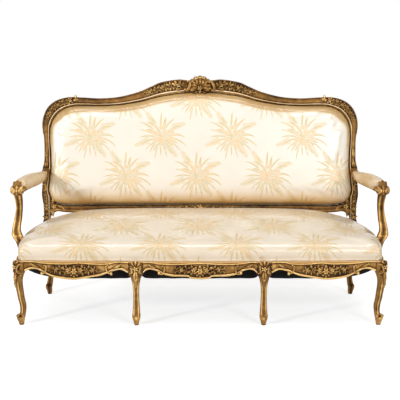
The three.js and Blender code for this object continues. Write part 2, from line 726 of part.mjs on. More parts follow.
/** Rear leg and stile in one piece. */
function backPost() {
  const depth = (frameBack - postFrontRelief) / 2;
  const stile = stileShares.map(([rise, outer, inner], i) => sectionRing(
    onBack(postX + (outer + inner) / 2 * postBlockWidth, rise * backRise - (i ? 0 : gap), depth),
    alongX, leanBack, (outer - inner) / 2 * postBlockWidth, (frameBack + postFrontRelief) / 2,
    blockRoundShare, grooveDepth,
  ));
  const legPart = rearLegShares.map(([height, swingX, swingY, wide, deep], i) => sectionRing(
    new THREE.Vector3(
      postX + rearLegSwing * swingX, postBlockY + rearLegSwing * swingY, railTop * height),
    alongX, alongY, wide * postBlockWidth / 2, deep * postBlockDepth / 2,
    i < 2 ? blockRoundShare : legRoundShare, 0,
  ));
  return cut(
    skin([...stile, ...legPart]),
    dowel(gap).applyMatrix4(backMatrix),
    lowerTenon(gap).applyMatrix4(backMatrix),
    rearTenon(gap),
    sideTenon(1, gap),
    armScrew(gap).applyMatrix4(backMatrix),
  );
}

/** Fan of lobes in front of the crest's middle. */
function crestShell() {
  const points = [];
  const perLobe = 4;
  const steps = shellLobes * perLobe;
  for (let k = 0; k <= steps; k++) {
    const angle = THREE.MathUtils.lerp(-shellDip, Math.PI + shellDip, k / steps);
    const lobe = 1 - shellLobeShare * (1 - Math.abs(Math.sin((k / perLobe) * Math.PI)));
    const flank = 1 - shellFlankShare * Math.cos(angle) ** 2;
    const radius = shellRadius * lobe * flank;
    points.push(new THREE.Vector2(radius * Math.cos(angle), radius * Math.sin(angle)));
  }
  const shape = new THREE.Shape(points);
  const solid = new THREE.ExtrudeGeometry(shape, {
    depth: shellThickness, bevelEnabled: true, bevelThickness: shellBevel, bevelSize: shellBevel,
    bevelOffset: -shellBevel, bevelSegments: 1,
  });
  solid.rotateX(Math.PI / 2);
  return join(solid.translate(0, -frameRelief - gap - shellBevel, backRise - shellCentreDrop));
}

// Arms.

/** Round-headed screw along Y, its head's top at Y zero and its shank towards the front. */
function screwAt(length, room, recess) {
  const head = new THREE.CylinderGeometry(
    screwHeadRadius + room, screwHeadRadius + room, screwHeadHeight + recess + room, 12);
  const shank = new THREE.CylinderGeometry(
    screwShankRadius + room, screwShankRadius + room, length + room, 8);
  head.translate(0, (recess - screwHeadHeight - room) / 2, 0);
  shank.translate(0, -(length + room) / 2, 0);
  return join(head, shank);
}

/** Screw through the post into the arm, in the frame of the back. */
function armScrew(room = 0) {
  return screwAt(armScrewLength, room, room > 0 ? overrun : 0)
    .translate(armBackX, frameBack - gap, armJointRise);
}

const armBackX = postX + (postBlockWidth / 2) * 0.3;
const armJoint = onBack(armBackX, armJointRise, -postFrontRelief - gap);
const armTipY = cornerLegWidth / 2 + armTipSetback;

/** Middle and half sizes of the arm at a share of its length. */
const armRows = armShares.map(([way, blend, low, high, wide]) => ({
  way,
  x: THREE.MathUtils.lerp(armHalfSpan, armBackX, blend),
  y: THREE.MathUtils.lerp(armTipY, armJoint.y, way),
  low: armBottom + low * armThickness,
  high: armBottom + high * armThickness,
  halfWidth: wide * armWidth / 2,
}));

function arm() {
  const rings = armRows.map((row) => {
    const last = row.way === 1;
    const centre = new THREE.Vector3(row.x, row.y, (row.low + row.high) / 2);
    if (last) centre.y += (centre.z - armJoint.z) * Math.tan(backRake);
    const up = last ? leanUp : alongZ;
    return sectionRing(
      centre, alongX, up.clone().negate(), row.halfWidth, (row.high - row.low) / 2, legRoundShare, 0);
  });
  return cut(
    skin(rings),
    armScrew(gap).applyMatrix4(backMatrix),
    supportTenon(gap),
  );
}

function armPad() {
  const xRows = armRows.map((row) => [row.way, row.x]);
  const topRows = armRows.map((row) => [row.way, row.high]);
  const rings = armPadShares.map(([way, height, wide]) => {
    const y = THREE.MathUtils.lerp(armTipY, armJoint.y, way);
    const base = along(topRows, way) + gap;
    const half = armPadSectionShares.map(([across, up]) => (
      [across * wide * armPadWidth / 2, up * height * armPadHeight]));
    const section = [...half, ...half.slice(0, -1).reverse().map(([a, b]) => [-a, b])];
    return section.map(([a, b]) => new THREE.Vector3(along(xRows, way) + a, y, base + b));
  });
  return skin(rings);
}

const supportFootY = cornerLegWidth / 2 + supportBack;
const supportFootX = sideRailX(supportFootY);
const supportTopY = armTipY + supportTopSetback;
const supportScrewBottom = along(sideRailRows, supportFootY) + supportScrewRecess;

/** Support of the arm, foot on the side rail; room swells it for the cut in the upholstery. */
function supportBody(room) {
  const foot = railTop + gap;
  const top = armBottom - gap;
  return skin(supportShares.map(([height, blend, bow, sweep, wide, deep]) => sectionRing(
    new THREE.Vector3(
      THREE.MathUtils.lerp(supportFootX, armHalfSpan, blend) + supportSwing * bow,
      THREE.MathUtils.lerp(supportFootY, supportTopY, blend) + supportSweep * sweep,
      THREE.MathUtils.lerp(foot, top, height) - (height === 0 ? room : 0),
    ),
    alongX, alongY, wide * supportWidth / 2 + room, deep * supportDepth / 2 + room,
    legRoundShare, room > 0 || height === 0 || height === 1 ? 0 : grooveDepth,
  )));
}

/** Square tenon of the support's top in the arm. */
function supportTenon(room = 0) {
  const half = supportTenonWidth / 2;
  return block(
    [armHalfSpan - half, supportTopY - half, armBottom - gap - overrun],
    [armHalfSpan + half, supportTopY + half, armBottom - gap + supportTenonHeight],
    room,
  );
}

function armSupport() {
  return cut(join(supportBody(0), supportTenon()), supportScrewHole(gap));
}

// Upholstery of the seat.

const seatMiddleY = (frontFaceY(0) + cushionBack) / 2;
const frontEdgeX = seatHalfWidth - cushionCornerRound;
const frontEdgeSteps = 16;
const sideEdgeShares = [0.02, 0.08, 0.17, 0.33, 0.55, 0.78, 0.92, 1];
const cornerRoundShares = [[0.5, 0.12], [0.86, 0.45]];

/** Seat outline in plan, drawn in from the rails' faces by inset; the right half from front to back. */
function seatEdge(inset) {
  const sideX = (y) => sideRailX(y) + sideRailThickness / 2 - inset;
  const half = [];
  for (let k = 0; k <= frontEdgeSteps / 2; k++) {
    const x = (k / (frontEdgeSteps / 2)) * frontEdgeX;
    half.push([x, frontFaceY(x) + inset]);
  }
  const sideStart = THREE.MathUtils.lerp(sideRailStart, sideRailEnd, sideEdgeShares[0]);
  const corner = half[half.length - 1];
  for (const [across, back] of cornerRoundShares) {
    half.push([
      THREE.MathUtils.lerp(corner[0], sideX(sideStart), across),
      THREE.MathUtils.lerp(corner[1], sideStart, back),
    ]);
  }
  for (const way of sideEdgeShares) {
    const y = THREE.MathUtils.lerp(sideRailStart, sideRailEnd, way);
    half.push([sideX(y), y]);
  }
  return half;
}

/** Whole closed outline of the seat cover. */
function seatOutline() {
  const half = seatEdge(cushionSetback);
  const rearX = half[half.length - 1][0];
  const rearSteps = 5;
  for (let k = rearSteps; k > 0; k--) half.push([(k / rearSteps) * rearX, cushionBack]);
  const left = half.slice(1).reverse().map(([x, y]) => [-x, y]);
  return [...half, [0, cushionBack], ...left];
}

/** Height of the stuffing above the rails at full crown. */
function seatCrown(x, y) {
  const rise = THREE.MathUtils.smoothstep(y, 0, seatDepth * crownShare);
  const reach = y < sideRailEnd ? sideRailX(Math.max(y, sideRailStart)) : sideRailX(sideRailEnd);
  const share = THREE.MathUtils.lerp(sideFallFrontShare, sideFallRearShare, rise);
  const fall = 1 - share * Math.min(1, Math.abs(x) / (reach + sideRailThickness / 2)) ** 4;
  return THREE.MathUtils.lerp(cushionFrontHeight, cushionRearHeight, rise) * fall;
}

/** Ring of the seat's stuffing, sized about the ridge of its crown. It doesn't bulge behind. */
function seatRing(outline, size, height, lower = 0) {
  const spine = cushionSpineShare * seatHalfWidth;
  return outline.map(([x, y]) => {
    const ridgeX = THREE.MathUtils.clamp(x, -spine, spine);
    const px = THREE.MathUtils.lerp(ridgeX, x, size);
    const py = THREE.MathUtils.lerp(seatMiddleY, y, y > seatMiddleY ? Math.min(size, 1) : size);
    return new THREE.Vector3(px, py, cushionBase + height * seatCrown(px, py) - lower);
  });
}

function seatCushion() {
  const outline = seatOutline();
  const profile = [...hollowShares, ...cushionShares];
  const rings = profile.map(([size, height]) => seatRing(outline, size, height));
  const postNotch = block(
    [postInnerX - softGap, postBlockFront - softGap, railTop - overrun],
    [seatHalfWidth, cushionBack + overrun, hingeHeight + cushionRearHeight],
  );
  const supportNotch = supportBody(softGap);
  return cut(skin(rings), postNotch, mirrored(postNotch), supportNotch, mirrored(supportNotch));
}

function seatBurlap() {
  const outline = seatOutline();
  const top = burlapRingShares.map((size) => seatRing(outline, size, burlapHeightShare, gap));
  const under = burlapRingShares.map((size) => (
    seatRing(outline, size, burlapHeightShare, gap + sheetThickness)));
  return skin([...top, ...under.reverse()]);
}

/** Braid along the foot of the seat cover, from post to post. */
function seatGimp() {
  const place = (away) => seatEdge(cushionSetback - away);
  const innerEdge = place(gimpSpacing);
  const outerEdge = place(gimpSpacing + gimpThickness);
  const whole = (half) => [...half.slice(1).reverse().map(([x, y]) => [-x, y]), ...half];
  const inner = whole(innerEdge);
  const outer = whole(outerEdge);
  const foot = railTop + gap;
  const rings = inner.map(([x, y], i) => [
    new THREE.Vector3(x, y, foot), new THREE.Vector3(...outer[i], foot),
    new THREE.Vector3(...outer[i], foot + gimpHeight), new THREE.Vector3(x, y, foot + gimpHeight),
  ]);
  const notch = supportBody(softGap);
  return cut(skin(rings), notch, mirrored(notch));
}

/** Part of the gimp in front of the supports, or behind the right-hand one. */
function gimpPart(gimp, front) {
  const far = 2 * seatHalfWidth;
  const from = front ? -seatDepth : supportFootY;
  const to = front ? supportFootY : 2 * seatDepth;
  return overlap(gimp, block([front ? -far : 0, from, 0], [far, to, railTop + gimpHeight + overrun]));
}

const clearHalfWidth = sideRailX(sideRailEnd) - sideRailThickness / 2;
const strapSpacing = (clearHalfWidth - strapEdge) / ((seatStrapCount - 1) / 2);
const springSpacing = (clearHalfWidth - springEdge) / ((springCount - 1) / 2);
const strapUnder = [webbingBottom, webbingBottom + strapThickness];
const strapOver = [webbingTop - strapThickness, webbingTop];

function seatWebbing() {
  const straps = [];
  for (let k = 0; k < seatStrapCount; k++) {
    const x = (k - (seatStrapCount - 1) / 2) * strapSpacing;
    straps.push(block(
      [x - strapWidth / 2, frontRailBack + gap, strapUnder[0]],
      [x + strapWidth / 2, rearRailFront - gap, strapUnder[1]],
    ));
  }
  for (const share of springRowShares) {
    const y = THREE.MathUtils.lerp(frontRailBack, rearRailFront, share);
    const reach = innerReach(y - strapWidth / 2, y + strapWidth / 2) - gap;
    straps.push(block(
      [-reach, y - strapWidth / 2, strapOver[0]],
      [reach, y + strapWidth / 2, strapOver[1]],
    ));
  }
  return join(...straps);
}

/** Plain body of one hourglass spring from foot to top. */
function springBody(foot, top) {
  const waist = springRadius * springWaistShare;
  const middle = (foot + top) / 2;
  const profile = [[0, foot], [springRadius, foot], [waist, middle], [springRadius, top], [0, top]];
  const points = profile.map(([radius, z]) => new THREE.Vector2(radius, z));
  return join(new THREE.LatheGeometry(points, springSides).rotateX(Math.PI / 2));
}

/** Row of springs with the twine that laces their tops. */
function springRow(share) {
  const y = THREE.MathUtils.lerp(frontRailBack, rearRailFront, share);
  const pieces = [];
  const lift = burlapHeightShare;
  const ceiling = (x) => cushionBase + lift * Math.min(
    seatCrown(Math.abs(x) + springRadius, y - springRadius),
    seatCrown(Math.abs(x) + springRadius, y + springRadius),
  ) - sheetThickness - springPress;
  const half = (springCount - 1) / 2;
  const lowest = ceiling(half * springSpacing);
  for (let k = -half; k <= half; k++) {
    const x = k * springSpacing;
    pieces.push(springBody(webbingTop + gap, ceiling(x)).translate(x, y, 0));
  }
  const reach = half * springSpacing;
  pieces.push(block(
    [-reach, y - twineThickness / 2, lowest - 2 * twineThickness],
    [reach, y + twineThickness / 2, lowest - twineThickness],
  ));
  return join(...pieces);
}

/** Black cloth under one bay, sagging between the frame and the braces. */
function dustCover(from, reach) {
  const edge = railTop - coverDrop;
  const across = (w, power) => Math.sqrt(1 - Math.abs(2 * w - 1) ** power);
  const row = (v, i, lower) => coverShares.map((u) => {
    const y = THREE.MathUtils.lerp(frontRailBack + gap, rearRailFront - gap, v);
    const x = THREE.MathUtils.lerp(from, reach(y, i), u);
    return new THREE.Vector3(x, y, edge - coverSag * across(u, 8) * across(v, 14) - lower);
  });
  return skin(coverShares.map((v, i) => [...row(v, i, 0), ...row(v, i, coverThickness).reverse()]));
}

function sideDustCover() {
  const last = coverShares.length - 1;
  const reach = (y, i) => {
    if (i < 2) return cornerInnerX - softGap;
    if (i > last - 2) return postInnerX - softGap;
    return sideRailX(y) - sideRailThickness / 2 - softGap;
  };
  return dustCover(midLegX + braceWidth / 2 + gap, reach);
}

function middleDustCover() {
  const half = midLegX - braceWidth / 2 - gap;
  return dustCover(-half, () => half);
}

// Upholstery of the back.

/** Line of the frame's inner edge, drawn in by inset, in the frame of the back. */
function backOpening(inset) {
  const crest = crestInner.getPoints(crestSteps).map((p) => new THREE.Vector2(p.x, p.z));
  const stile = stileShares.filter(([rise]) => rise > openingCornerShare && rise < jointRiseShare)
    .map(([rise, , inner]) => new THREE.Vector2(postX + inner * postBlockWidth, rise * backRise));
  const lower = lowerRowsWhole.map(([, , x, s]) => new THREE.Vector2(x, s)).reverse();
  const left = stile.slice().reverse().map((p) => new THREE.Vector2(-p.x, p.y));
  const loop = [...crest, ...stile, ...lower, ...left];
  return loop.map((p, i) => {
    const before = loop[(i + loop.length - 1) % loop.length];
    const after = loop[(i + 1) % loop.length];
    const way = after.clone().sub(before).normalize();
    return new THREE.Vector2(p.x + way.y * inset, p.y - way.x * inset);
  });
}

function backPad() {
  const loop = backOpening(softGap);
  const top = Math.max(...loop.map((p) => p.y));
  const bottom = Math.min(...loop.map((p) => p.y));
  const middle = (top + bottom) / 2;
  const spine = Math.max(...loop.map((p) => p.x)) - (top - bottom) / 2;
  const ring = (size, depth) => loop.map((p) => {
    const ridge = THREE.MathUtils.clamp(p.x, -spine, spine);
    return new THREE.Vector3(
      THREE.MathUtils.lerp(ridge, p.x, size), depth, THREE.MathUtils.lerp(middle, p.y, size));
  });
  const front = padShares.map(([size, depth]) => ring(size, -depth * padDepth));
  return skin([ring(1, padBack), ...front]);
}

/** Flat sheet that fills the opening of the back between two depths. */
function backSheet(depth, thickness) {
  const shape = new THREE.Shape(backOpening(gap));
  const solid = new THREE.ExtrudeGeometry(shape, { depth: thickness, bevelEnabled: false });
  return join(solid.rotateX(Math.PI / 2).translate(0, depth + thickness, 0));
}

function backWebbing(depth) {
  const over = depth + strapThickness - strapBite;
  const sheet = backSheet(depth, 2 * strapThickness - strapBite);
  const straps = [];
  const half = (backStrapCount - 1) / 2;
  for (let k = -half; k <= half; k++) {
    const x = (k / half) * (postX - backStrapEdge);
    straps.push(block(
      [x - strapWidth / 2, depth - overrun, -overrun],
      [x + strapWidth / 2, depth + strapThickness, backRise],
    ));
  }
  for (const share of backStrapShares) {
    const s = share * backRise;
    straps.push(block(
      [-backHalfWidth, over, s - strapWidth / 2],
      [backHalfWidth, over + strapThickness + overrun, s + strapWidth / 2],
    ));
  }
  return overlap(join(...straps), sheet);
}

// Assembly.

const sofa = new THREE.Group();
const backFrame = new THREE.Group();
backFrame.position.set(0, seatDepth, hingeHeight);
backFrame.rotation.x = -backRake;
sofa.add(backFrame);

addPiece(backFrame, 'crest_rail', crestRail(), 'gilt');
addPiece(backFrame, 'crest_shell', crestShell(), 'gilt');
addPiece(backFrame, 'lower_back_rail', lowerBackRail(), 'gilt');
addPair(backFrame, 'crest_dowel', dowel(), 'beech');
addPair(backFrame, 'arm_screw', armScrew(), 'steel');
addPair(sofa, 'back_post', backPost(), 'gilt');

addPair(sofa, 'corner_leg', cornerLeg(), 'gilt');
addPair(sofa, 'middle_leg', midLeg(), 'gilt');
addPiece(sofa, 'front_rail_middle', middleBayRail(), 'gilt');
addPair(sofa, 'front_rail', sideBayRail(), 'gilt');
addPair(sofa, 'side_rail', sideRail(), 'gilt');
addPiece(sofa, 'rear_rail', rearRail(), 'beech');
addPair(sofa, 'seat_brace', brace(), 'beech');
addPair(sofa, 'front_corner_block', frontCornerBlock(), 'beech');
addPair(sofa, 'rear_corner_block', rearCornerBlock(), 'beech');

addPair(sofa, 'arm', arm(), 'gilt');
addPair(sofa, 'arm_support', armSupport(), 'gilt');
addPair(sofa, 'support_screw', supportScrewHole(), 'steel');
addPair(sofa, 'arm_pad', armPad(), 'damask');

const gimp = seatGimp();
addPiece(sofa, 'seat_cushion', seatCushion(), 'damask');
addPiece(sofa, 'seat_gimp_front', gimpPart(gimp, true), 'damask');
addPair(sofa, 'seat_gimp', gimpPart(gimp, false), 'damask');
addPiece(sofa, 'seat_burlap', seatBurlap(), 'jute');
addPiece(sofa, 'seat_webbing', seatWebbing(), 'jute');
springRowShares.forEach((share, i) => {
  addPiece(sofa, `spring_row_${i + 1}`, springRow(share), 'steel');
});
addPiece(sofa, 'dust_cover_middle', middleDustCover(), 'blackCloth');
addPair(sofa, 'dust_cover', sideDustCover(), 'blackCloth');

const burlapDepth = padBack + gap;
const webbingDepth = burlapDepth + sheetThickness + gap;
const panelDepth = frameBack - panelSetback - sheetThickness;
addPiece(backFrame, 'back_pad', backPad(), 'damask');
addPiece(backFrame, 'back_burlap', backSheet(burlapDepth, sheetThickness), 'jute');
addPiece(backFrame, 'back_webbing', backWebbing(webbingDepth), 'jute');
addPiece(backFrame, 'back_panel', backSheet(panelDepth, sheetThickness), 'damask');

sofa.updateMatrixWorld(true);
const extent = new THREE.Box3().setFromObject(sofa, true);
sofa.position.y = -(extent.min.y + extent.max.y) / 2;
sofa.updateMatrixWorld(true);

export default sofa;
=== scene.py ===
import math
from types import SimpleNamespace

import bpy
import numpy as np
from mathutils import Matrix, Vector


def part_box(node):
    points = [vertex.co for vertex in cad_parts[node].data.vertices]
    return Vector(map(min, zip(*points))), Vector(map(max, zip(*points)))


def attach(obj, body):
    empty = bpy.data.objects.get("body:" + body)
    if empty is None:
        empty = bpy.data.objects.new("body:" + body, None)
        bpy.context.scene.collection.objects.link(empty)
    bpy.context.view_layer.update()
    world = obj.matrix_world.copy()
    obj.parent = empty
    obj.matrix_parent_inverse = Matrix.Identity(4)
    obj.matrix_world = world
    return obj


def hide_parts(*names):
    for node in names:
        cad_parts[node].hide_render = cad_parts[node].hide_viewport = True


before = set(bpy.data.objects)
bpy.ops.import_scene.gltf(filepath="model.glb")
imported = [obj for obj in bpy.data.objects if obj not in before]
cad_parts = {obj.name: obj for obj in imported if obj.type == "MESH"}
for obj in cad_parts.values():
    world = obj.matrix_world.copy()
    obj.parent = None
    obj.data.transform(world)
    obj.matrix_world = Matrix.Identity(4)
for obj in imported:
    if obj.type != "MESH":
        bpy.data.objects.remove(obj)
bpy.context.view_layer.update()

bl_info = {
    "name": "Gilded Three-Bay Canape",
    "version": (1, 0, 0),
    "blender": (4, 5, 0),
    "location": "3D View > Sidebar > Canape",
    "description": "Builds a carved and gilded canape in cream silk damask round its packed frame",
    "category": "Add Mesh",
}


# Sizes and colours that a user may change.

def length(name, value, text):
    return bpy.props.FloatProperty(name=name, description=text, default=value, unit="LENGTH", precision=4)


def count(name, value, text):
    return bpy.props.IntProperty(name=name, description=text, default=value, min=1)


def colour(name, value, text):
    return bpy.props.FloatVectorProperty(
        name=name, description=text, default=value, size=3, subtype="COLOR", min=0, max=1)


class CanapeSizes(bpy.types.PropertyGroup):
    """Sizes of the frame and the upholstery."""
    rail_top: length("Rail top", 0.3, "Top of the seat rails above the floor")
    seat_half_width: length("Seat half width", 0.862, "Middle of the seat to the outer face of a corner leg")
    seat_depth: length("Seat depth", 0.607, "Corner leg axis to the face of the back at the hinge line")
    corner_leg_width: length("Corner leg width", 0.048, "Side of the corner leg's block")
    mid_leg_spacing: length("Middle leg spacing", 0.594, "Between the axes of the two middle legs")
    mid_leg_width: length("Middle leg width", 0.066, "Width of the middle leg's block")
    mid_leg_depth: length("Middle leg depth", 0.06, "Depth of the middle leg's block")
    front_bow: length("Front bow", 0.018, "How far the front line swells towards the middle")
    front_relief: length("Front relief", 0.007, "Height of the mouldings on the rails")
    side_rail_thickness: length("Side rail thickness", 0.028, "Thickness of the side rails")
    side_bow: length("Side bow", 0.02, "How far the side rails bow outwards")
    hinge_height: length("Hinge height", 0.42, "Height at which the back's plane is set out")
    back_rake: bpy.props.FloatProperty(
        name="Back rake", description="Lean of the back", default=math.radians(9), subtype="ANGLE")
    back_inset: length("Back inset", 0.052, "Outer edge of the back inside the seat's outer face")
    back_rise: length("Back rise", 0.692, "Hinge line to the top of the crest rail")
    frame_back: length("Frame back", 0.03, "Back of the back frame behind its face plane")
    frame_relief: length("Frame relief", 0.008, "Mouldings of the back frame in front of its face plane")
    post_width: length("Post width", 0.036, "Width of the back post's block")
    post_depth: length("Post depth", 0.038, "Depth of the back post's block")
    arm_offset: length("Arm offset", 0.004, "Middle of the hand rest outside the seat's outer face")
    arm_clearance: length("Arm clearance", 0.169, "Underside of the arm above the hinge line")
    arm_thickness: length("Arm thickness", 0.028, "Thickness of the arm's wood")
    arm_width: length("Arm width", 0.044, "Width of the arm's wood")
    arm_pad_height: length("Arm pad height", 0.033, "Height of the arm pad")
    arm_pad_width: length("Arm pad width", 0.062, "Width of the arm pad")
    pad_depth: length("Back pad depth", 0.039, "Crown of the back pad in front of the face plane")
    cushion_rear: length("Seat height behind", 0.158, "Height of the seat's stuffing behind")
    cushion_front: length("Seat height in front", 0.104, "Height of the seat's stuffing in front")
    pattern_width: length("Pattern repeat", 0.36, "Repeat of the damask across the cloth")
    pattern_height: length("Pattern drop", 0.4, "Repeat of the damask up the cloth")
    gimp_pitch: length("Gimp pitch", 0.008, "Length of one twist of the braid")
    shell_lobes: count("Shell lobes", 9, "Flutes of the shell on the crest")
    shell_radius: length("Shell radius", 0.068, "Radius of the shell on the crest")
    shell_drop: length("Shell drop", 0.051, "Centre of the shell below the top of the back")


class CanapeColours(bpy.types.PropertyGroup):
    """Colours of the finishes."""
    gilt_hollow: colour("Gilding, hollows", (0.032, 0.013, 0.004), "Brown clay in the hollows")
    gilt_body: colour("Gilding, body", (0.27, 0.132, 0.03), "Toned gold leaf")
    gilt_bright: colour("Gilding, raised", (0.68, 0.43, 0.15), "Rubbed gold leaf on the raised parts")
    gesso: colour("Gesso", (0.9, 0.77, 0.56), "Pale ground where the leaf is worn through")
    silk: colour("Silk ground", (0.9, 0.832, 0.72), "Cream ground of the damask")
    # Tan of the silk, multiplied in: tanned silk, and also painted shade at the foot and front of the seat, round
    # the back pad's border and at its bottom.
    silk_tan_and_shade: colour("Silk, aged", (0.74, 0.51, 0.22), "Tanned silk at the turned edges")
    # Painted shade: grey-brown mixed into the silk where it should lie in shade, on the seat's side behind the arm
    # support and on the back pad's top border and bottom.
    silk_painted_shade: colour("Silk, soiled", (0.16, 0.11, 0.07), "Grey-brown of the edges that dust gets to")
    silk_leaf: colour("Damask leaves", (0.64, 0.5, 0.2), "Grey-green of the woven leaves")
    silk_bloom: colour("Damask blossoms", (0.78, 0.5, 0.16), "Apricot of the woven blossoms")
    # The dust cloth is black, and its black is made darker still to paint the shade inside the seat.
    black_cloth: colour("Dust cloth", (0.004, 0.0036, 0.0034), "Black cloth under the seat")
    beech: colour("Beech", (0.42, 0.26, 0.13), "Hidden beech of the seat frame")
    steel: colour("Steel", (0.3, 0.3, 0.29), "Springs and screws")
    jute: colour("Jute", (0.37, 0.27, 0.14), "Webbing and burlap")
    floor: colour("Floor", (0.8, 0.8, 0.8), "Floor of the stage")


# Gaps between two woods and between stuffing and wood, and the thickness of a sheet of cloth, in metres.
GAP, SOFT_GAP, CLOTH = 0.0003, 0.001, 0.0012

# Fixed steps of the joinery, in metres: how far one piece stands before, behind or beside the next.
RAIL_STEP, POST_STEP, REAR_RAIL_STEP = 0.014, 0.015, 0.006
CUSHION_TUCK, CORNER_ROUNDING = 0.013, 0.03
ARM_TIP_STEP, SUPPORT_STEP, SUPPORT_SWEEP, ARM_JOINT_RISE = 0.117, 0.182, 0.042, 0.215
# Axis of a back post as a share of the back's half width, and the arm's joint on the post as a share of its width.
POST_SHARE, ARM_SHARE = 0.968, 0.15
# How far an axis swings for 1 in its table: corner leg and rear leg, middle leg, arm support across and back.
LEG_SWING, MIDDLE_LEG_SWING, SUPPORT_SWING_X, SUPPORT_SWING_Y = 0.012, 0.016, 0.017, 0.02
SUPPORT_HALF_WIDTH, SUPPORT_HALF_DEPTH = 0.02, 0.018
# Carved lip of a front rail behind its face, and the middle of the side rail's spray as y and z.
LIP_SETBACK, SIDE_SPRAY = 0.0012, (0.3, 0.272)
# Seat cover about the middle of its depth and about the end of its ridge: the half sizes that its rings share.
SEAT_MIDDLE, SEAT_HALF_DEPTH, RIDGE_END, SEAT_END = 0.29, 0.33, 0.543, 0.32
# Braid: its inset from the rails' faces, its middle above them, half its height and half its thickness.
BRAID_INSET, BRAID_RISE, BRAID_HALF_HEIGHT, BRAID_HALF_DEPTH = 0.00075, 0.0046, 0.0044, 0.0016
# Back cloth: its inset, its place before the back of the frame, its hollow.
BACK_CLOTH_INSET, BACK_CLOTH_STEP, BACK_CLOTH_HOLLOW = 0.0015, 0.0032, 0.0015
# Black cloth: half a brace, its tacked edge below the top of the rails, its sag, its ripple, its widest reach.
BRACE_HALF, TACKED_DROP, SAG, RIPPLE, CLOTH_REACH = 0.016, 0.0325, 0.061, 0.0012, 0.86
# Tone of gilded pieces that have no tone of their own.
PLAIN_TONE = 0.55

# Outlines as shares of the sizes that they follow.
CREST = np.array([
    [0, .988, 0, .903], [.074, .988, .074, .899], [.14, .994, .14, .891], [.246, .974, .235, .874],
    [.31, .942, .296, .857], [.391, .902, .378, .832], [.512, .866, .507, .808], [.633, .855, .633, .801],
    [.741, .861, .733, .803], [.833, .863, .81, .798], [.911, .838, .874, .77], [.963, .789, .915, .727],
    [.99, .725, .941, .673], [.999, .662, .951, .63]])
LOWER_RAIL = np.array([
    [0, .03, 0, .066], [.26, .027, .26, .066], [.535, .019, .535, .065], [.729, .01, .729, .064],
    [.82, .007, .818, .062], [.898, .01, .893, .065], [.948, .017, .94, .072], [.974, .009, .969, .082],
    [.99, -.004, .987, .098], [1, -.023, 1, .121]])
STILE = np.array([
    [.603, .608, -.36], [.555, .428, -.36], [.431, .383, -.495], [.379, .45, -.54], [.341, .63, -.54],
    [.311, .675, -.473], [.267, .585, -.36], [.23, .675, -.27], [.175, .742, -.18], [.145, .765, -.293],
    [.121, .72, -.45], [.058, .517, -.45], [-.023, .472, -.45], [-.058, .585, -.495]])
REAR_LEG = np.array([
    [1, 0, 0, 1, 1], [.853, 0, 0, 1, 1], [.8, 0, 0, 1, .95], [.667, -.42, -.17, 1, .84],
    [.533, -.75, -.2, .95, .79], [.4, -.92, 0, .9, .75], [.28, -.83, .2, .84, .74], [.183, -.5, 0, .89, .78],
    [.14, -.17, -.3, 1, .9], [.1, -.12, -.4, .92, .85], [.04, -.42, -.6, .72, .7], [0, -.42, -.7, .6, .6]])
CORNER_LEG = np.array([
    [1, 0, 1], [.853, 0, 1], [.8, .15, .875], [.72, .42, .77], [.617, .25, .71], [.5, -.125, .667],
    [.417, -.375, .646], [.333, -.79, .625], [.267, -.92, .604], [.2, -.83, .56], [.167, -.58, .625],
    [.133, -.17, .79], [.1, -.08, .75], [.067, -.17, .625], [.04, -.21, .54], [0, -.25, .5]])
MID_LEG = np.array([
    [1, 0, 1, 1], [.833, 0, 1, 1], [.8, -.12, .85, .9], [.747, -.12, .667, .73], [.633, .125, .47, .55],
    [.463, .69, .424, .48], [.333, 1.12, .455, .48], [.283, 1.19, .485, .5], [.2, 1, .53, .57],
    [.15, .81, .576, .63], [.1, .75, .53, .57], [.06, .81, .42, .47], [0, .87, .333, .4]])
SIDE_BAY = np.array([
    [0, .847], [.074, .9], [.147, .88], [.202, .847], [.269, .807], [.372, .777], [.442, .757], [.5, .743],
    [.574, .743], [.649, .757], [.721, .78], [.789, .827], [.837, .87], [.882, .903], [.94, .902], [1, .867]])
MIDDLE_BAY = np.array([
    [0, .753], [.159, .763], [.212, .793], [.341, .797], [.477, .8], [.568, .813], [.636, .83],
    [.769, .887], [.875, .907], [.947, .89], [1, .847]])
SIDE_RAIL = np.array([
    [0, 0, 0, .873], [.08, .02, .36, .9], [.17, .05, .7, .86], [.33, .14, .95, .8], [.55, .36, .9, .79],
    [.78, .7, .5, .83], [.92, .9, .17, .87], [1, 1, 0, .86]])
ARM = np.array([
    [0, 0, .464, 1.036, .73], [.004, 0, .286, 1.286, 1.14], [.018, 0, .09, 1.55, 1.45],
    [.049, 0, 0, 1.625, 1.52], [.1, 0, 0, 1.48, 1.36], [.13, 0, 0, 1.25, 1.18], [.18, .04, 0, 1.05, 1.045],
    [.322, .17, 0, 1, 1], [.525, .41, 0, 1, 1], [.728, .684, .07, 1.071, .955], [.88, .88, .393, 1.536, .91],
    [.96, .987, .714, 2.143, .82], [1, 1, .786, 2.357, .77]])
ARM_PAD = np.array([
    [.19, .25, .45], [.197, .58, .7], [.212, .86, .87], [.24, 1.03, .97], [.285, 1.14, 1], [.35, 1.2, 1],
    [.43, 1.22, 1], [.525, 1.19, 1], [.625, 1.1, .98], [.728, .92, .94], [.8, .72, .87], [.86, .45, .76],
    [.9, .25, .66], [.92, .12, .5]])
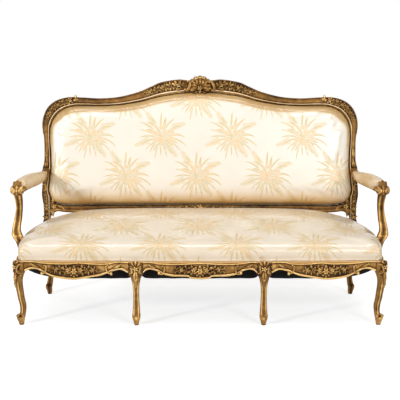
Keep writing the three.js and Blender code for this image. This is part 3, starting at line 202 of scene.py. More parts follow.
# Half of the arm pad's section: half width, height over the arm, or share of the skirt below it.
ARM_PAD_SECTION = [[.6, -.95], [.86, -1], [1, -.6], [1.03, 0], [1.02, .3], [.93, .66], [.6, .92], [0, 1]]
SUPPORT = np.array([
    [0, 0, 0, 0, 1, 1], [.173, .3, .36, .2, 1.1, 1], [.266, .45, .9, .2, 1.25, 1.05],
    [.328, .55, 1.2, .48, 1.22, 1.05], [.38, .6, 1.28, .84, 1.05, 1], [.46, .7, 1.08, 1.35, .975, .9],
    [.567, .8, .62, 1.67, .925, .84], [.747, .9, .05, 1.43, .825, .84], [.882, .95, -.1, .64, .9, .89],
    [1, 1, 0, 0, 1.02, .95]])
COVER = np.array([
    [1, 0], [1, .11], [1.014, .24], [1.02, .4], [1.015, .56], [.995, .71], [.96, .83], [.91, .92],
    [.82, .98], [.65, 1], [.4, 1], [.12, 1]])
HOLLOW = np.array([[.3, .6], [.6, .6], [.78, .6], [.84, .48], [.86, .25], [.86, 0]])
PAD = np.array([[1, 0], [.985, .31], [.96, .56], [.92, .74], [.87, .85], [.75, .92], [.5, .97], [.25, 1]])

# Face of the back frame from its outer edge to its inner edge: way across, depth in metres, tone.
# Tone is 0 in a hollow, 0.5 on the body of the moulding, 1 where it is rubbed and above where it is worn pale.
FRAME_FACE = np.array([
    [.04, .03, .3], [0, .0285, .3], [0, .014, .3], [0, .002, .3], [0, -.0015, .3], [.015, -.0042, .42],
    [.05, -.0056, .55], [.09, -.006, .5], [.12, -.0052, .3], [.15, -.0036, .12], [.2, -.0028, .3],
    [.3, -.0034, .42], [.42, -.0044, .5], [.54, -.0046, .52], [.64, -.004, .42], [.7, -.003, .28],
    [.745, -.0026, .08], [.77, -.004, .45], [.79, -.0066, 1.3], [.825, -.008, 1.75], [.86, -.0074, 1.6],
    [.885, -.005, .9], [.905, -.0036, .3], [.94, -.0022, .9], [.97, -.001, 1], [1, .001, .8], [1, .014, .3],
    [1, .0285, .3], [.96, .03, .3]])
# The same for the lower rail of the back, from its lower edge to its upper edge. The dark tones at its upper edge
# paint the shade under the back pad.
LOWER_FACE = np.array([
    [.05, .03, .3], [0, .0285, .3], [0, .014, .3], [0, .002, .25], [.03, -.003, .3], [.1, -.0062, .55],
    [.2, -.0078, .7], [.3, -.0078, .65], [.38, -.006, .4], [.43, -.0036, .08], [.5, -.0034, .25],
    [.6, -.0046, .4], [.7, -.005, .42], [.8, -.0042, .3], [.88, -.002, .22], [.95, .001, .1],
    [1, .004, .06], [1, .0285, .3], [.95, .03, .3]])


def measures():
    """Sizes from the property group, with the places that follow from them, in the CAD's working frame."""
    given = bpy.context.scene.canape_sizes
    m = SimpleNamespace(**{name: getattr(given, name) for name in CanapeSizes.__annotations__})
    m.inner_leg_x = m.seat_half_width - m.corner_leg_width
    m.corner_x = m.seat_half_width - m.corner_leg_width / 2
    m.mid_x = m.mid_leg_spacing / 2
    m.mid_outer_x = m.mid_x + m.mid_leg_width / 2
    m.mid_inner_x = m.mid_x - m.mid_leg_width / 2
    m.rail_back = m.corner_leg_width / 2 - RAIL_STEP
    m.mid_y = m.rail_back - m.mid_leg_depth / 2
    m.back_half = m.seat_half_width - m.back_inset
    m.post_x = m.back_half * POST_SHARE
    m.post_inner_x = m.post_x - m.post_width / 2
    m.post_front = m.seat_depth - POST_STEP
    m.post_y = m.post_front + m.post_depth / 2
    m.rear_rail_front = m.post_front + REAR_RAIL_STEP
    m.side_start = m.corner_leg_width / 2 + GAP
    m.side_end = m.post_front - GAP
    m.lower_end_x = m.post_x + m.post_width * STILE[10, 2] - GAP
    m.joint_rise = m.back_rise * STILE[0, 0]
    m.cushion_base = m.rail_top + GAP
    m.cushion_back = m.seat_depth + CUSHION_TUCK
    m.arm_x = m.seat_half_width + m.arm_offset
    m.arm_bottom = m.hinge_height + m.arm_clearance
    m.arm_tip_y = m.corner_leg_width / 2 + ARM_TIP_STEP
    m.arm_back_x = m.post_x + m.post_width * ARM_SHARE
    m.arm_joint = on_back(m, m.arm_back_x, ARM_JOINT_RISE, -0.75 * m.frame_relief - GAP)
    m.support_foot_y = m.corner_leg_width / 2 + SUPPORT_STEP
    m.support_foot_x = float(side_middle(m, m.support_foot_y))
    m.support_top_y = m.arm_tip_y + SUPPORT_SWEEP
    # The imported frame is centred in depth, so everything moves with its rear rail.
    m.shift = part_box("rear_rail")[0].y - m.rear_rail_front
    return m


# Lines and surfaces.

def spline(rows, samples):
    """Smooth line through rows of values: on each span a cubic whose slope at a row is half the
    difference of its two neighbours, with the first and last rows mirrored past the ends."""
    p = np.asarray(rows, float)
    p = np.vstack([2 * p[0] - p[1], p, 2 * p[-1] - p[-2]])
    t = np.linspace(0, len(p) - 3, samples)
    i = np.minimum(t.astype(int), len(p) - 4)
    f = (t - i)[:, None]
    a, b, c, d = p[i], p[i + 1], p[i + 2], p[i + 3]
    return b + 0.5 * f * (c - a + f * (2 * a - 5 * b + 4 * c - d + f * (3 * b - a - 3 * c + d)))


def distances(line):
    """Distance of each point from the first, along the line."""
    return np.concatenate([[0], np.cumsum(np.linalg.norm(np.diff(line, axis=0), axis=1))])


def even(line, samples):
    """The same line with its points equally far apart along it."""
    run = distances(line)
    at = np.linspace(0, run[-1], samples)
    return np.stack([np.interp(at, run, column) for column in line.T], -1)


def both_halves(rows):
    """Rows of (x, rise, x, rise) from the middle outwards, with their mirror image before them."""
    return np.vstack([rows[:0:-1] * [-1, 1, -1, 1], rows])


def smoothstep(value, low, high):
    """0 below low, 1 above high, and 3t^2 - 2t^3 between."""
    t = np.clip((value - low) / (high - low), 0, 1)
    return t * t * (3 - 2 * t)


def hump(value, middle, width):
    """Bell curve: 1 at middle, 0.37 at width from it."""
    return np.exp(-((value - middle) / width) ** 2)


def dome(share, power=2):
    """Height of a rounded form over a share of its half width: 1 in the middle and 0 at both edges."""
    return np.sqrt(np.clip(1 - np.abs(share) ** power, 0, 1))


def around(steps):
    """Angles round a closed section, as a row."""
    return np.linspace(0, 2 * np.pi, steps, endpoint=False)[None, :]


def stack(*columns):
    """Points from their x, y and z, each a number or an array."""
    return np.stack(np.broadcast_arrays(*columns), -1)


def on_back(m, x, rise, depth):
    """Point of the leaning back: x across, rise up the rake from the hinge line, depth behind its face."""
    c, s = math.cos(m.back_rake), math.sin(m.back_rake)
    return stack(x, m.seat_depth + rise * s + depth * c, m.hinge_height + rise * c - depth * s)


def front_face(m, x):
    """Depth of the front rails' face: a parabola, foremost in the middle."""
    return 0.004 - m.corner_leg_width / 2 - m.front_bow * (1 - (x / m.inner_leg_x) ** 2)


def side_middle(m, y):
    """Middle of the side rail at a depth: a line from leg to post with a bow added."""
    way = (y - m.side_start) / (m.side_end - m.side_start)
    blend = np.interp(way, SIDE_RAIL[:, 0], SIDE_RAIL[:, 1])
    bow = np.interp(way, SIDE_RAIL[:, 0], SIDE_RAIL[:, 2])
    return m.corner_x + (m.post_x - m.corner_x) * blend + m.side_bow * bow


def side_face(m, y):
    """Outer face of the side rail at a depth."""
    return side_middle(m, y) + m.side_rail_thickness / 2


def about_ridge(line, size):
    """A closed outline of (x, rise) drawn in by size towards the ridge that runs along its middle."""
    middle = (line[:, 1].max() + line[:, 1].min()) / 2
    spine = line[:, 0].max() - np.ptp(line[:, 1]) / 2
    ridge = np.clip(line[:, 0], -spine, spine)
    return ridge + (line[:, 0] - ridge) * size, middle + (line[:, 1] - middle) * size


def shell(points, tone=0.5):
    """A closed skin: a net of points[i, j] whose j closes round, with its tone."""
    return points, np.broadcast_to(tone, points.shape[:2]).astype(float)


def mirrored(shells):
    return [(points * [-1, 1, 1], tone) for points, tone in shells]


def rounded_square(angle, power):
    """Unit section |a|^power + |b|^power = 1 at an angle round it, as (a, b)."""
    c, s = np.cos(angle), np.sin(angle)
    r = (np.abs(c) ** power + np.abs(s) ** power) ** (-1 / power)
    return r * c, r * s


def piece(name, shells, look, node):
    """One mesh of closed skins that stands for a node of the frame. Each skin is the quads of its net and a
    fan from the middle of each end ring, turned so that its volume is positive. The tone goes into an
    attribute."""
    offset = 0
    verts, quads, fans, tones = [], [], [], []
    for points, tone in shells:
        n, k = points.shape[:2]
        index = np.arange(n * k).reshape(n, k)
        after = np.roll(index, -1, 1)
        quad = np.stack([index[:-1], after[:-1], after[1:], index[1:]], -1).reshape(-1, 4)
        first = np.stack([after[0], index[0], np.full(k, n * k)], -1)
        last = np.stack([index[-1], after[-1], np.full(k, n * k + 1)], -1)
        fan = np.vstack([first, last])
        v = np.vstack([points.reshape(-1, 3), points[0].mean(0), points[-1].mean(0)])
        triangles = np.vstack([quad[:, [0, 1, 2]], quad[:, [0, 2, 3]], fan])
        a, b, c = (v[triangles[:, corner]] - v.mean(0) for corner in range(3))
        if np.einsum("ij,ij->", a, np.cross(b, c)) < 0:
            quad, fan = quad[:, ::-1], fan[:, ::-1]
        verts.append(v)
        quads.append(quad + offset)
        fans.append(fan + offset)
        tones.append(np.concatenate([tone.ravel(), [tone[0].mean(), tone[-1].mean()]]))
        offset += len(v)
    verts = np.vstack(verts)
    verts[:, 1] += measures().shift
    quads, fans = np.vstack(quads), np.vstack(fans)
    mesh = bpy.data.meshes.new(name)
    mesh.from_pydata(verts.tolist(), [], quads.tolist() + fans.tolist())
    mesh.polygons.foreach_set("use_smooth", np.arange(len(mesh.polygons)) < len(quads))
    mesh.attributes.new("tone", "FLOAT", "POINT").data.foreach_set("value", np.concatenate(tones))
    mesh.materials.append(finishes[look])
    obj = bpy.data.objects.new(name, mesh)
    bpy.context.scene.collection.objects.link(obj)
    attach(obj, "root")
    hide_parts(node)
    return obj


def pair(name, shells, look, node):
    """A right-hand piece and its mirror image."""
    return [piece(f"{name}_right", shells, look, f"{node}_right"),
            piece(f"{name}_left", mirrored(shells), look, f"{node}_left")]


# Carved ornament. A motif is a closed skin in the coordinates of the surface that carries it:
# across, up, and height off the surface.

def leaf(long, width, height, bend=0.5, lobes=4, rows=18, cols=11):
    """Acanthus leaf along +x: half width follows sin(pi t^0.8) with lobes cut into it, the middle line turns
    by bend on its way, and the height is an arch across with a furrow down the middle and fine flutes."""
    t = np.linspace(0, 1, rows)[:, None]
    c = np.linspace(-1, 1, cols)[None, :]
    turn = bend * t
    x = np.cumsum(np.cos(turn), 0) / rows * long
    y = np.cumsum(np.sin(turn), 0) / rows * long
    notch = 1 - 0.3 * np.abs(np.cos(np.pi * lobes * t)) ** 3 * np.minimum(1, 4 * t)
    half = width / 2 * (np.sin(np.pi * (0.04 + 0.95 * t) ** 0.8) * 0.96 + 0.04) * notch
    px = x - np.sin(turn) * c * half + 0.25 * np.abs(c) * half
    py = y + np.cos(turn) * c * half
    arch = dome(c)
    form = arch * (0.45 + 0.55 * np.sin(np.pi * np.clip(t * 1.05, 0, 1)))
    fine = 1 - 0.45 * hump(c, 0, 0.16) - 0.16 * np.cos(3 * np.pi * c) ** 2
    h = height * form * fine
    tone = 0.15 + arch * fine * (0.6 + 0.4 * t)
    return stack(px, py, h - 0.0012 * (arch < 0.05)), np.broadcast_to(tone, px.shape)


def bloom(radius, height, petals=5, rows=9, cols=30):
    """Open flower: the radius is 1 + 0.28 cos(petals angle) times its size, each petal is cupped, and a
    domed eye stands in the middle."""
    r = np.linspace(1, 0.02, rows)[:, None]
    a = around(cols)
    wave = np.cos(petals * a)
    edge = radius * (1 + 0.28 * wave * smoothstep(r, 0.2, 0.8))
    cup = 0.55 + 0.45 * np.sin(np.pi * r) + 0.18 * wave * r
    eye, ring = hump(r, 0, 0.2), hump(r, 0.3, 0.08)
    h = height * (dome(r, 4) * cup + 0.35 * (eye - ring))
    tone = 0.3 + 0.9 * np.clip(cup, 0, 1) - 0.8 * ring + 0.3 * eye
    return stack(edge * r * np.cos(a), edge * r * np.sin(a), h), np.broadcast_to(tone, h.shape)


def bead(width, long, height, rows=7, cols=14):
    """Oval bead: height times sqrt(1 - r^2)."""
    r = np.linspace(1, 0.02, rows)[:, None]
    a = around(cols)
    h = height * np.sqrt(1 - r ** 2) + 0 * a
    return stack(r * np.cos(a) * long / 2, r * np.sin(a) * width / 2, h), 0.4 + 0.9 * h / height


def scroll(size, width, height, turn=4.6, curl=2.2, rows=64, cols=9):
    """C-scroll open to -y: the direction of its line turns by turn in all, faster towards both ends as
    |u|^curl, and its section is a half round with a furrow, narrower at the ends."""
    u = np.linspace(-1, 1, rows)
    rate = np.abs(u) ** curl + 0.12
    angle = turn * (np.cumsum(rate) / np.sum(rate) - 0.5)
    line = np.stack([np.cumsum(np.cos(angle)), -np.cumsum(np.sin(angle))], -1)
    line -= (line.max(0) + line.min(0)) / 2
    line *= size / np.ptp(line[:, 0])
    c = np.linspace(-1, 1, cols)[None, :]
    half = (width / 2 * (1 - 0.45 * np.abs(u) ** 3))[:, None]
    px = line[:, :1] + np.sin(angle)[:, None] * c * half
    py = line[:, 1:] + np.cos(angle)[:, None] * c * half
    arch = dome(c)
    fine = 1 - 0.4 * hump(c, 0, 0.3)
    h = height * arch * fine * (1 - 0.25 * np.abs(u) ** 2)[:, None]
    return stack(px, py, h), np.broadcast_to(0.25 + 0.95 * arch * fine, h.shape)


def scroll_with_eyes(size, width, height, **options):
    """A C-scroll with a bead curled into each end."""
    body = scroll(size, width, height, **options)
    ends = [body[0][k].mean(0)[:2] for k in (0, -1)]
    eyes = [laid(bead(width * 0.9, width * 0.9, height * 1.15), end) for end in ends]
    return [body, *eyes]


def laid(motif, at, angle=0.0, flip=False):
    """A motif mirrored if flip, turned by angle and moved to a place on its surface."""
    points, tone = motif
    x, y, h = np.moveaxis(points, -1, 0)
    y = -y if flip else y
    c, s = math.cos(angle), math.sin(angle)
    return stack(at[0] + c * x - s * y, at[1] + s * x + c * y, h), tone


def fan(radius, lobes, dip, rise, ridge, flank=0.14, rows=14):
    """Scallop: rays from its centre over half a turn and dip more at each end. Each flute is a rounded ridge,
    |sin| of the angle times the lobes, that fades inwards, and the rim is pinched between flutes."""
    a = np.linspace(-dip, np.pi + dip, lobes * 10 + 1)
    t = np.linspace(0, 1, len(a))
    flute = np.abs(np.sin(t * lobes * np.pi))
    rim = radius * (1 - 0.1 * (1 - flute)) * (1 - flank * np.cos(a) ** 2)
    r = np.linspace(1, 0.02, rows)[:, None]
    h = rise * dome(r, 4) + ridge * flute * np.sin(np.pi * r) ** 0.6
    tone = 0.05 + 1.15 * flute ** 2 * (0.35 + 0.65 * r ** 2)
    return stack(r * rim * np.cos(a), r * rim * np.sin(a), h), np.broadcast_to(tone, h.shape)


def roll(radius, width, height, start, stop, rows=40, cols=9):
    """Rounded roll along an arc, full in its middle and pointed at both ends."""
    t = np.linspace(0, 1, rows)[:, None]
    a = start + (stop - start) * t
    w = np.linspace(-1, 1, cols)[None, :]
    full = np.sin(np.pi * np.clip(t, 0.001, 0.999)) ** 0.6
    r = radius + w * width / 2 * full
    h = height * full * np.sqrt(1 - 0.98 * w ** 2)
    return stack(r * np.cos(a), r * np.sin(a), h), 0.1 + 1.1 * (1 - w ** 2) + 0 * t


def spray(line, start, stop, size, seed, flowers=3):
    """Trailing spray along a line between two distances: tufts of three leaves, smaller towards stop, each round
    a flower or three berries."""
    rng = np.random.default_rng(seed)
    run = distances(line)
    point = lambda d: np.array([np.interp(d, run, column) for column in line.T])
    sign = 1 if stop > start else -1
    made, d, k = [], start, 0
    while (stop - d) * sign > 0:
        grow = size * (1 - 0.5 * abs((d - start) / (stop - start))) * rng.uniform(0.9, 1.1)
        at, along = point(d), sign * (point(d + 0.004) - point(d)) / 0.004
        base, side = math.atan2(along[1], along[0]), np.array([-along[1], along[0]])
        for lean, long in ((0.15, 1), (0.95, 0.8), (-0.95, 0.8), (2.1, 0.6), (-2.1, 0.6)):
            blade = leaf(grow * long, grow * 0.42, grow * 0.26, rng.uniform(0.3, 0.8))
            turn = base + lean + rng.uniform(-0.2, 0.2)
            out = 0.12 * grow * np.array([math.cos(turn), math.sin(turn)])
            made.append(laid(blade, at + out, turn, lean < 0))
        if k % flowers == 0:
            made.append(laid(bloom(grow * 0.34, grow * 0.36), at, rng.uniform(0, 1)))
        else:
            for share in (-0.22, 0, 0.22):
                made.append(laid(bead(grow * 0.2, grow * 0.2, grow * 0.34),
                                 at + side * share * grow + along * 0.1 * grow * (share == 0)))
        d += sign * grow * 0.92
        k += 1
    return made


def sided(motif, s, at, turn, middle=(0, 0)):
    """A motif laid to the right of a middle, s = 1, or mirrored to its left, s = -1."""
    return laid(motif, (middle[0] + s * at[0], middle[1] + at[1]), turn if s > 0 else math.pi - turn, s < 0)


def cartouche(width, height):
    """Knee ornament: a fan on top, two scrolls, a flower in a dark hollow and a long leaf below. Its middle is
    the flower."""
    made = [laid(fan(width * 0.5, 5, 0.1, 0.004, 0.005, 0), (0, height * 0.06)),
            laid(bloom(width * 0.19, 0.013), (0, -height * 0.04)),
            laid(leaf(height * 0.95, width * 0.5, 0.01, 0, 5), (0, -height * 0.16), -math.pi / 2)]
    for s in (1, -1):
        made += [laid(p, (s * width * 0.37, -height * 0.12), 1.57 - s * 0.25, s < 0)
                 for p in scroll_with_eyes(height * 0.55, width * 0.13, 0.009)]
        made += [laid(leaf(height * 0.5, width * 0.26, 0.009, 0.6), (s * width * 0.12, -height * 0.14),
                      -1.57 + s * 0.65, s < 0),
                 laid(bead(width * 0.1, width * 0.1, 0.008), (s * width * 0.2, height * 0.02))]
    return made


def placed(motifs, place):
    """Motifs carried onto a surface, whose place(across, up, height) gives points."""
    return [(place(*np.moveaxis(points, -1, 0)), tone) for points, tone in motifs]


def onto_back(m, motifs, lift=0.003):
    """Motifs on the face of the back frame: across is x, up is the rise."""
    return placed(motifs, lambda x, rise, h: on_back(m, x, rise, -lift - h))


def onto_rail(m, motifs, lift=0.004):
    """Motifs on the bowed face of the front rails: across is x, up is z."""
    return placed(motifs, lambda x, z, h: stack(x, front_face(m, x) - lift - h, z))


def onto_side(m, motifs, lift=0.004):
    """Motifs on the bowed face of the right side rail: across is y, up is z."""
    return placed(motifs, lambda y, z, h: stack(side_face(m, y) + lift + h, y, z))


def round_leg(motifs, centre, facing, radius):
    """Motifs wrapped round an upright axis whose centre(z) gives x and y: across runs round it from the
    direction facing, at radius(z) plus the motif's height."""
    def place(across, z, h):
        angle = facing + across / np.maximum(radius(z), 0.012)
        x, y = centre(z)
        return stack(x + (radius(z) + h) * np.cos(angle), y + (radius(z) + h) * np.sin(angle), z)
    return placed(motifs, place)


def volute(centre, out, up, side, radius, width, turns=1.4, rows=70, cols=14):
    """Rolled scroll: a ribbon that winds inwards in the plane of out and up, its radius shrinking evenly
    with the angle, wide along side, and rounded at its edges."""
    t = np.linspace(0, 1, rows)[:, None]
    angle = 2 * np.pi * turns * t
    r = radius * (1 - 0.82 * t)
    thick = radius * 0.3 * (1 - 0.5 * t)
    ring = around(cols)
    a, b = rounded_square(ring, 3)
    reach = r + a * thick / 2
    across = b * width / 2 * (1 + 0.35 * t)
    points = np.asarray(centre) + sum(
        size[..., None] * np.asarray(way)
        for size, way in ((np.cos(angle) * reach, out), (np.sin(angle) * reach, up), (across, side)))
    return points, 0.28 + 0.65 * np.clip(a, 0, 1) ** 2 + 0 * t


# Materials.

class Field:
    """A value that varies over the surface. Arithmetic on it adds Math nodes."""

    def __init__(self, tree, socket):
        self.tree, self.socket = tree, socket

    def math(self, operation, *others):
        node = self.tree.nodes.new("ShaderNodeMath")
        node.operation = operation
        for slot, value in zip(node.inputs, (self, *others)):
            if isinstance(value, Field):
                self.tree.links.new(value.socket, slot)
            else:
                slot.default_value = value
        return Field(self.tree, node.outputs[0])

    def __add__(self, other):
        return self.math("ADD", other)

    def __sub__(self, other):
        return self.math("SUBTRACT", other)

    def __mul__(self, other):
        return self.math("MULTIPLY", other)

    def __truediv__(self, other):
        return self.math("DIVIDE", other)

    __radd__, __rmul__ = __add__, __mul__

    def __rsub__(self, other):
        return (self * -1) + other

    def ramp(self, low, high):
        """0 below low and 1 above high, smooth between; the other way round where high is less than low."""
        node = self.tree.nodes.new("ShaderNodeMapRange")
        node.interpolation_type = "SMOOTHSTEP"
        self.tree.links.new(self.socket, node.inputs["Value"])
        rising = high > low
        node.inputs["From Min"].default_value = low if rising else high
        node.inputs["From Max"].default_value = high if rising else low
        node.inputs["To Min"].default_value = 0 if rising else 1
        node.inputs["To Max"].default_value = 1 if rising else 0
        return Field(self.tree, node.outputs["Result"])


class Finish:
    """A node material under construction."""

    def __init__(self, name):
        self.material = bpy.data.materials.new(name)
        self.material.use_nodes = True
        self.tree = self.material.node_tree
        self.shader = next(n for n in self.tree.nodes if n.type == "BSDF_PRINCIPLED")

    def new(self, kind, **values):
        node = self.tree.nodes.new(kind)
        for key, value in values.items():
            setattr(node, key, value)
        return node

    def link(self, value, socket):
        self.tree.links.new(value.socket if isinstance(value, Field) else value, socket)

    def texture(self, node, vector, output="Fac", **inputs):
        """Sets a texture's inputs and reads it at a place."""
        for name, value in inputs.items():
            node.inputs[name].default_value = value
        self.link(vector, node.inputs["Vector"])
        return Field(self.tree, node.outputs[output])

    def place(self, *scale):
        """Object coordinates in metres, stretched by scale where it is given."""
        source = self.new("ShaderNodeTexCoord").outputs["Object"]
        if not scale:
            return source
        mapping = self.new("ShaderNodeMapping")
        return self.texture(mapping, source, "Vector", Scale=scale).socket

    def attribute(self, name):
        """A number that the mesh holds for each of its points."""
        return Field(self.tree, self.new("ShaderNodeAttribute", attribute_name=name).outputs["Fac"])

    def noise(self, scale, detail, vector=None, rough=0.5):
        return self.texture(self.new("ShaderNodeTexNoise"), vector or self.place(),
                            Scale=scale, Detail=detail, Roughness=rough)

    def threads(self, direction, scale, vector, distortion=0.0):
        """Parallel waves that follow each other along X or Y."""
        return self.texture(self.new("ShaderNodeTexWave", wave_type="BANDS", bands_direction=direction), vector,
                            Scale=scale, Distortion=distortion)

    def shades(self, value, stops):
        """Colour from a value through stops of (position, colour)."""
        node = self.new("ShaderNodeValToRGB")
        ramp = node.color_ramp
        while len(ramp.elements) < len(stops):
            ramp.elements.new(0.5)
        for element, (position, shade) in zip(ramp.elements, stops):
            element.position = position
            element.color = (*shade, 1)
        self.link(value, node.inputs["Fac"])
        return node.outputs["Color"]

    def mixed(self, factor, first, second, blend="MIX"):
        """first where factor is 0 and second where it is 1; each is a colour or a socket."""
        node = self.new("ShaderNodeMix", data_type="RGBA", blend_type=blend)
        self.link(factor, node.inputs["Factor"])
        for value, socket in ((first, node.inputs[6]), (second, node.inputs[7])):
            if isinstance(value, bpy.types.NodeSocket):
                self.link(value, socket)
            else:
                socket.default_value = (*value, 1)
        return node.outputs[2]

    def bump(self, height, distance, strength):
        node = self.new("ShaderNodeBump")
        node.inputs["Distance"].default_value = distance
        node.inputs["Strength"].default_value = strength
        self.link(height, node.inputs["Height"])
        self.link(node.outputs["Normal"], self.shader.inputs["Normal"])

    def done(self, base, rough, **constants):
        """The material, with its colour and roughness and with constants for other inputs of its shader."""
        self.link(base, self.shader.inputs["Base Color"])
        if isinstance(rough, Field):
            self.link(rough, self.shader.inputs["Roughness"])
        else:
            self.shader.inputs["Roughness"].default_value = rough
        for name, value in constants.items():
            self.shader.inputs[name.replace("_", " ")].default_value = value
        return self.material


def toned(shade, factor):
    """A colour made lighter or darker."""
    return [factor * part for part in shade]


def gilding(colours):
    """Old water gilding: brown in the hollows, toned gold on the body, rubbed gold and pale gesso on what stands
    out. The tone attribute is mixed with noise and with the light that reaches the spot."""
    f = Finish("antique_gilding")
    tone = f.attribute("tone")
    near = f.new("ShaderNodeAmbientOcclusion", samples=6)
    near.inputs["Distance"].default_value = 0.012
    opened = Field(f.tree, near.outputs["AO"])
    patches, grain, broad = f.noise(38, 4), f.noise(420, 3), f.noise(5, 2)
    value = tone * 0.5 + (patches - 0.5) * 0.5 + (grain - 0.5) * 0.16 + (broad - 0.5) * 0.4
    value = value * opened.ramp(0.1, 0.8) + (opened - 1) * 0.12
    deep, body, bright = colours.gilt_hollow, colours.gilt_body, colours.gilt_bright
    base = f.shades(value, [(0.0, deep), (0.16, [0.5 * (a + b) for a, b in zip(deep, body)]), (0.33, body),
                            (0.54, bright), (0.72, bright), (0.86, colours.gesso)])
    f.link(value.ramp(0.88, 0.6) * 0.75, f.shader.inputs["Metallic"])
    f.bump(grain * 0.5 + patches * 0.5, 0.0006, 0.5)
    return f.done(base, 0.62 - value.ramp(0.2, 0.7) * 0.24)


# Damask bouquet of our own design, in metres from its middle.
# Rosette of leaves: x, y, leaves, shortest, longest, half width, droop at the tip in radians, its own number.
ROSETTES = [(-.004, -.012, 17, .1, .185, .0046, .62, 3), (.012, -.02, 13, .05, .12, .0058, .5, 8)]
# Herringbone sprig: x, y, direction in degrees, length.
SPRIGS = [(-.03, .05, 122, .13), (.034, -.05, -52, .12), (.06, .04, 18, .115), (-.06, -.024, -158, .11)]
# Barbs of a sprig, and how much each leans along the stem; flowers, and how far they reach from the middle.
BARB_PITCH, BARB_LEAN = 0.0125, 1.5
FLOWER_PITCH, FLOWER_SIZE, FLOWER_SPREAD, FLOWER_REACH = 0.036, 0.0125, 0.006, (0.055, 0.07)
# Soft edge of a woven shape, the clear line round the shape in front, and the ribs of the weave.
EDGE, CLEAR_LINE = 0.0008, 0.0026
RIB_PITCH, WARP_PITCH = 0.0009, 0.0006


def bouquet():
    """Node group that draws one bouquet round its own middle: a leaf value, a flower value and a sprig value
    from a place in metres. The leaves droop: the angle is turned towards the ground by cos a times the square of
    the share of the longest leaf. A leaf is |b| < 4wt(1 - t) about the middle line of its sector, a flower
    r < 0.78 + 0.22 cos 5a about a cell's point, and a sprig a stem with slanting barbs."""
    group = bpy.data.node_groups.new("damask_bouquet", "ShaderNodeTree")
    group.interface.new_socket("Place", in_out="INPUT", socket_type="NodeSocketVector")
    for name in ("Leaf", "Flower", "Sprig"):
        group.interface.new_socket(name, in_out="OUTPUT", socket_type="NodeSocketFloat")
    entry, out = group.nodes.new("NodeGroupInput"), group.nodes.new("NodeGroupOutput")

    def parts(socket):
        """The coordinates of a vector, or red, green and blue of a colour."""
        split = group.nodes.new("ShaderNodeSeparateXYZ")
        group.links.new(socket, split.inputs[0])
        return [Field(group, output) for output in split.outputs]

    def length_of(x, y):
        return (x * x + y * y).math("SQRT")

    def rosette(x, y, leaves, shortest, longest, half, droop, number):
        px, py, _ = parts(entry.outputs[0])
        px, py = px - x, py - y
        r = length_of(px, py)
        sag = px * r * (droop / longest ** 2)
        turn = (py.math("ARCTAN2", px) + sag) * (leaves / (2 * math.pi))
        sector = (turn + 0.5).math("FLOOR")
        chance = group.nodes.new("ShaderNodeTexWhiteNoise")
        chance.noise_dimensions = "1D"
        group.links.new((sector.math("FLOORED_MODULO", leaves) + number * 31.7).socket, chance.inputs["W"])
        swing, reach, _ = parts(chance.outputs["Color"])
        t = r / ((reach * (longest - shortest) + shortest) * (py / (r + 1e-5) * 0.2 + 1))
        aside = (turn - sector - (swing - 0.5) * 0.4) * (2 * math.pi / leaves) * r
        return (t - t * t) * (4 * half) - aside.math("ABSOLUTE")

    def flowers():
        cells = group.nodes.new("ShaderNodeTexVoronoi")
        cells.voronoi_dimensions = "2D"
        cells.inputs["Scale"].default_value = 1 / FLOWER_PITCH
        cells.inputs["Randomness"].default_value = 0.6
        group.links.new(entry.outputs[0], cells.inputs["Vector"])
        px, py, _ = parts(entry.outputs[0])
        cx, cy, _ = parts(cells.outputs["Position"])
        size, turn, _ = parts(cells.outputs["Color"])
        a, b = px - cx, py - cy
        r = length_of(a, b)
        near = (cx * cx + cy * cy * 1.3).math("SQRT").ramp(*FLOWER_REACH[::-1])
        petal = (a.math("ARCTAN2", b) * 5 + turn * 6).math("COSINE") * 0.22 + 0.78
        radius = (size * FLOWER_SPREAD + FLOWER_SIZE) * near
        return (petal * radius - r).math("MINIMUM", r - radius * 0.2)

    def sprig(x, y, degrees, long):
        turned = group.nodes.new("ShaderNodeMapping")
        turned.vector_type = "TEXTURE"
        turned.inputs["Location"].default_value = (x, y, 0)
        turned.inputs["Rotation"].default_value = (0, 0, math.radians(degrees))
        turned.inputs["Scale"].default_value = (long, 1, 1)
        group.links.new(entry.outputs[0], turned.inputs["Vector"])
        t, b, _ = parts(turned.outputs[0])
        b = b.math("ABSOLUTE")
        barb = ((t - b * (BARB_LEAN / long)) * (long / BARB_PITCH)).math("FRACT").math("SUBTRACT", 0.5)
        wing = barb.math("ABSOLUTE").ramp(0.38, 0.28) * (b - (1 - t) * 0.018 - 0.002).ramp(EDGE, -EDGE)
        return wing.math("MAXIMUM", b.ramp(0.0022, 0.0012)) * t.ramp(-0.02, 0.02) * t.ramp(1.02, 0.97)

    flower_edge = flowers()
    first, second = (rosette(*row) for row in ROSETTES)
    sprigs = sprig(*SPRIGS[0])
    for row in SPRIGS[1:]:
        sprigs = sprigs.math("MAXIMUM", sprig(*row))
    clear = flower_edge.ramp(-EDGE, -0.003)
    front = second.ramp(0, EDGE) * (second.ramp(0.005, 0.0025) * 0.55 + 0.45)
    behind = first.ramp(0, EDGE) * (first.ramp(0.0045, 0.002) * 0.45 + 0.55) * second.ramp(-EDGE, -CLEAR_LINE)
    leaves = front.math("MAXIMUM", behind) * clear
    petals = flower_edge.ramp(0, EDGE) * (flower_edge.ramp(0.0045, 0.002) * 0.5 + 0.5)
    sprigs = sprigs * clear * first.ramp(0, -EDGE) * second.ramp(0, -EDGE)
    for value, socket in zip((leaves, petals, sprigs), out.inputs):
        group.links.new(value.socket, socket)
    return group


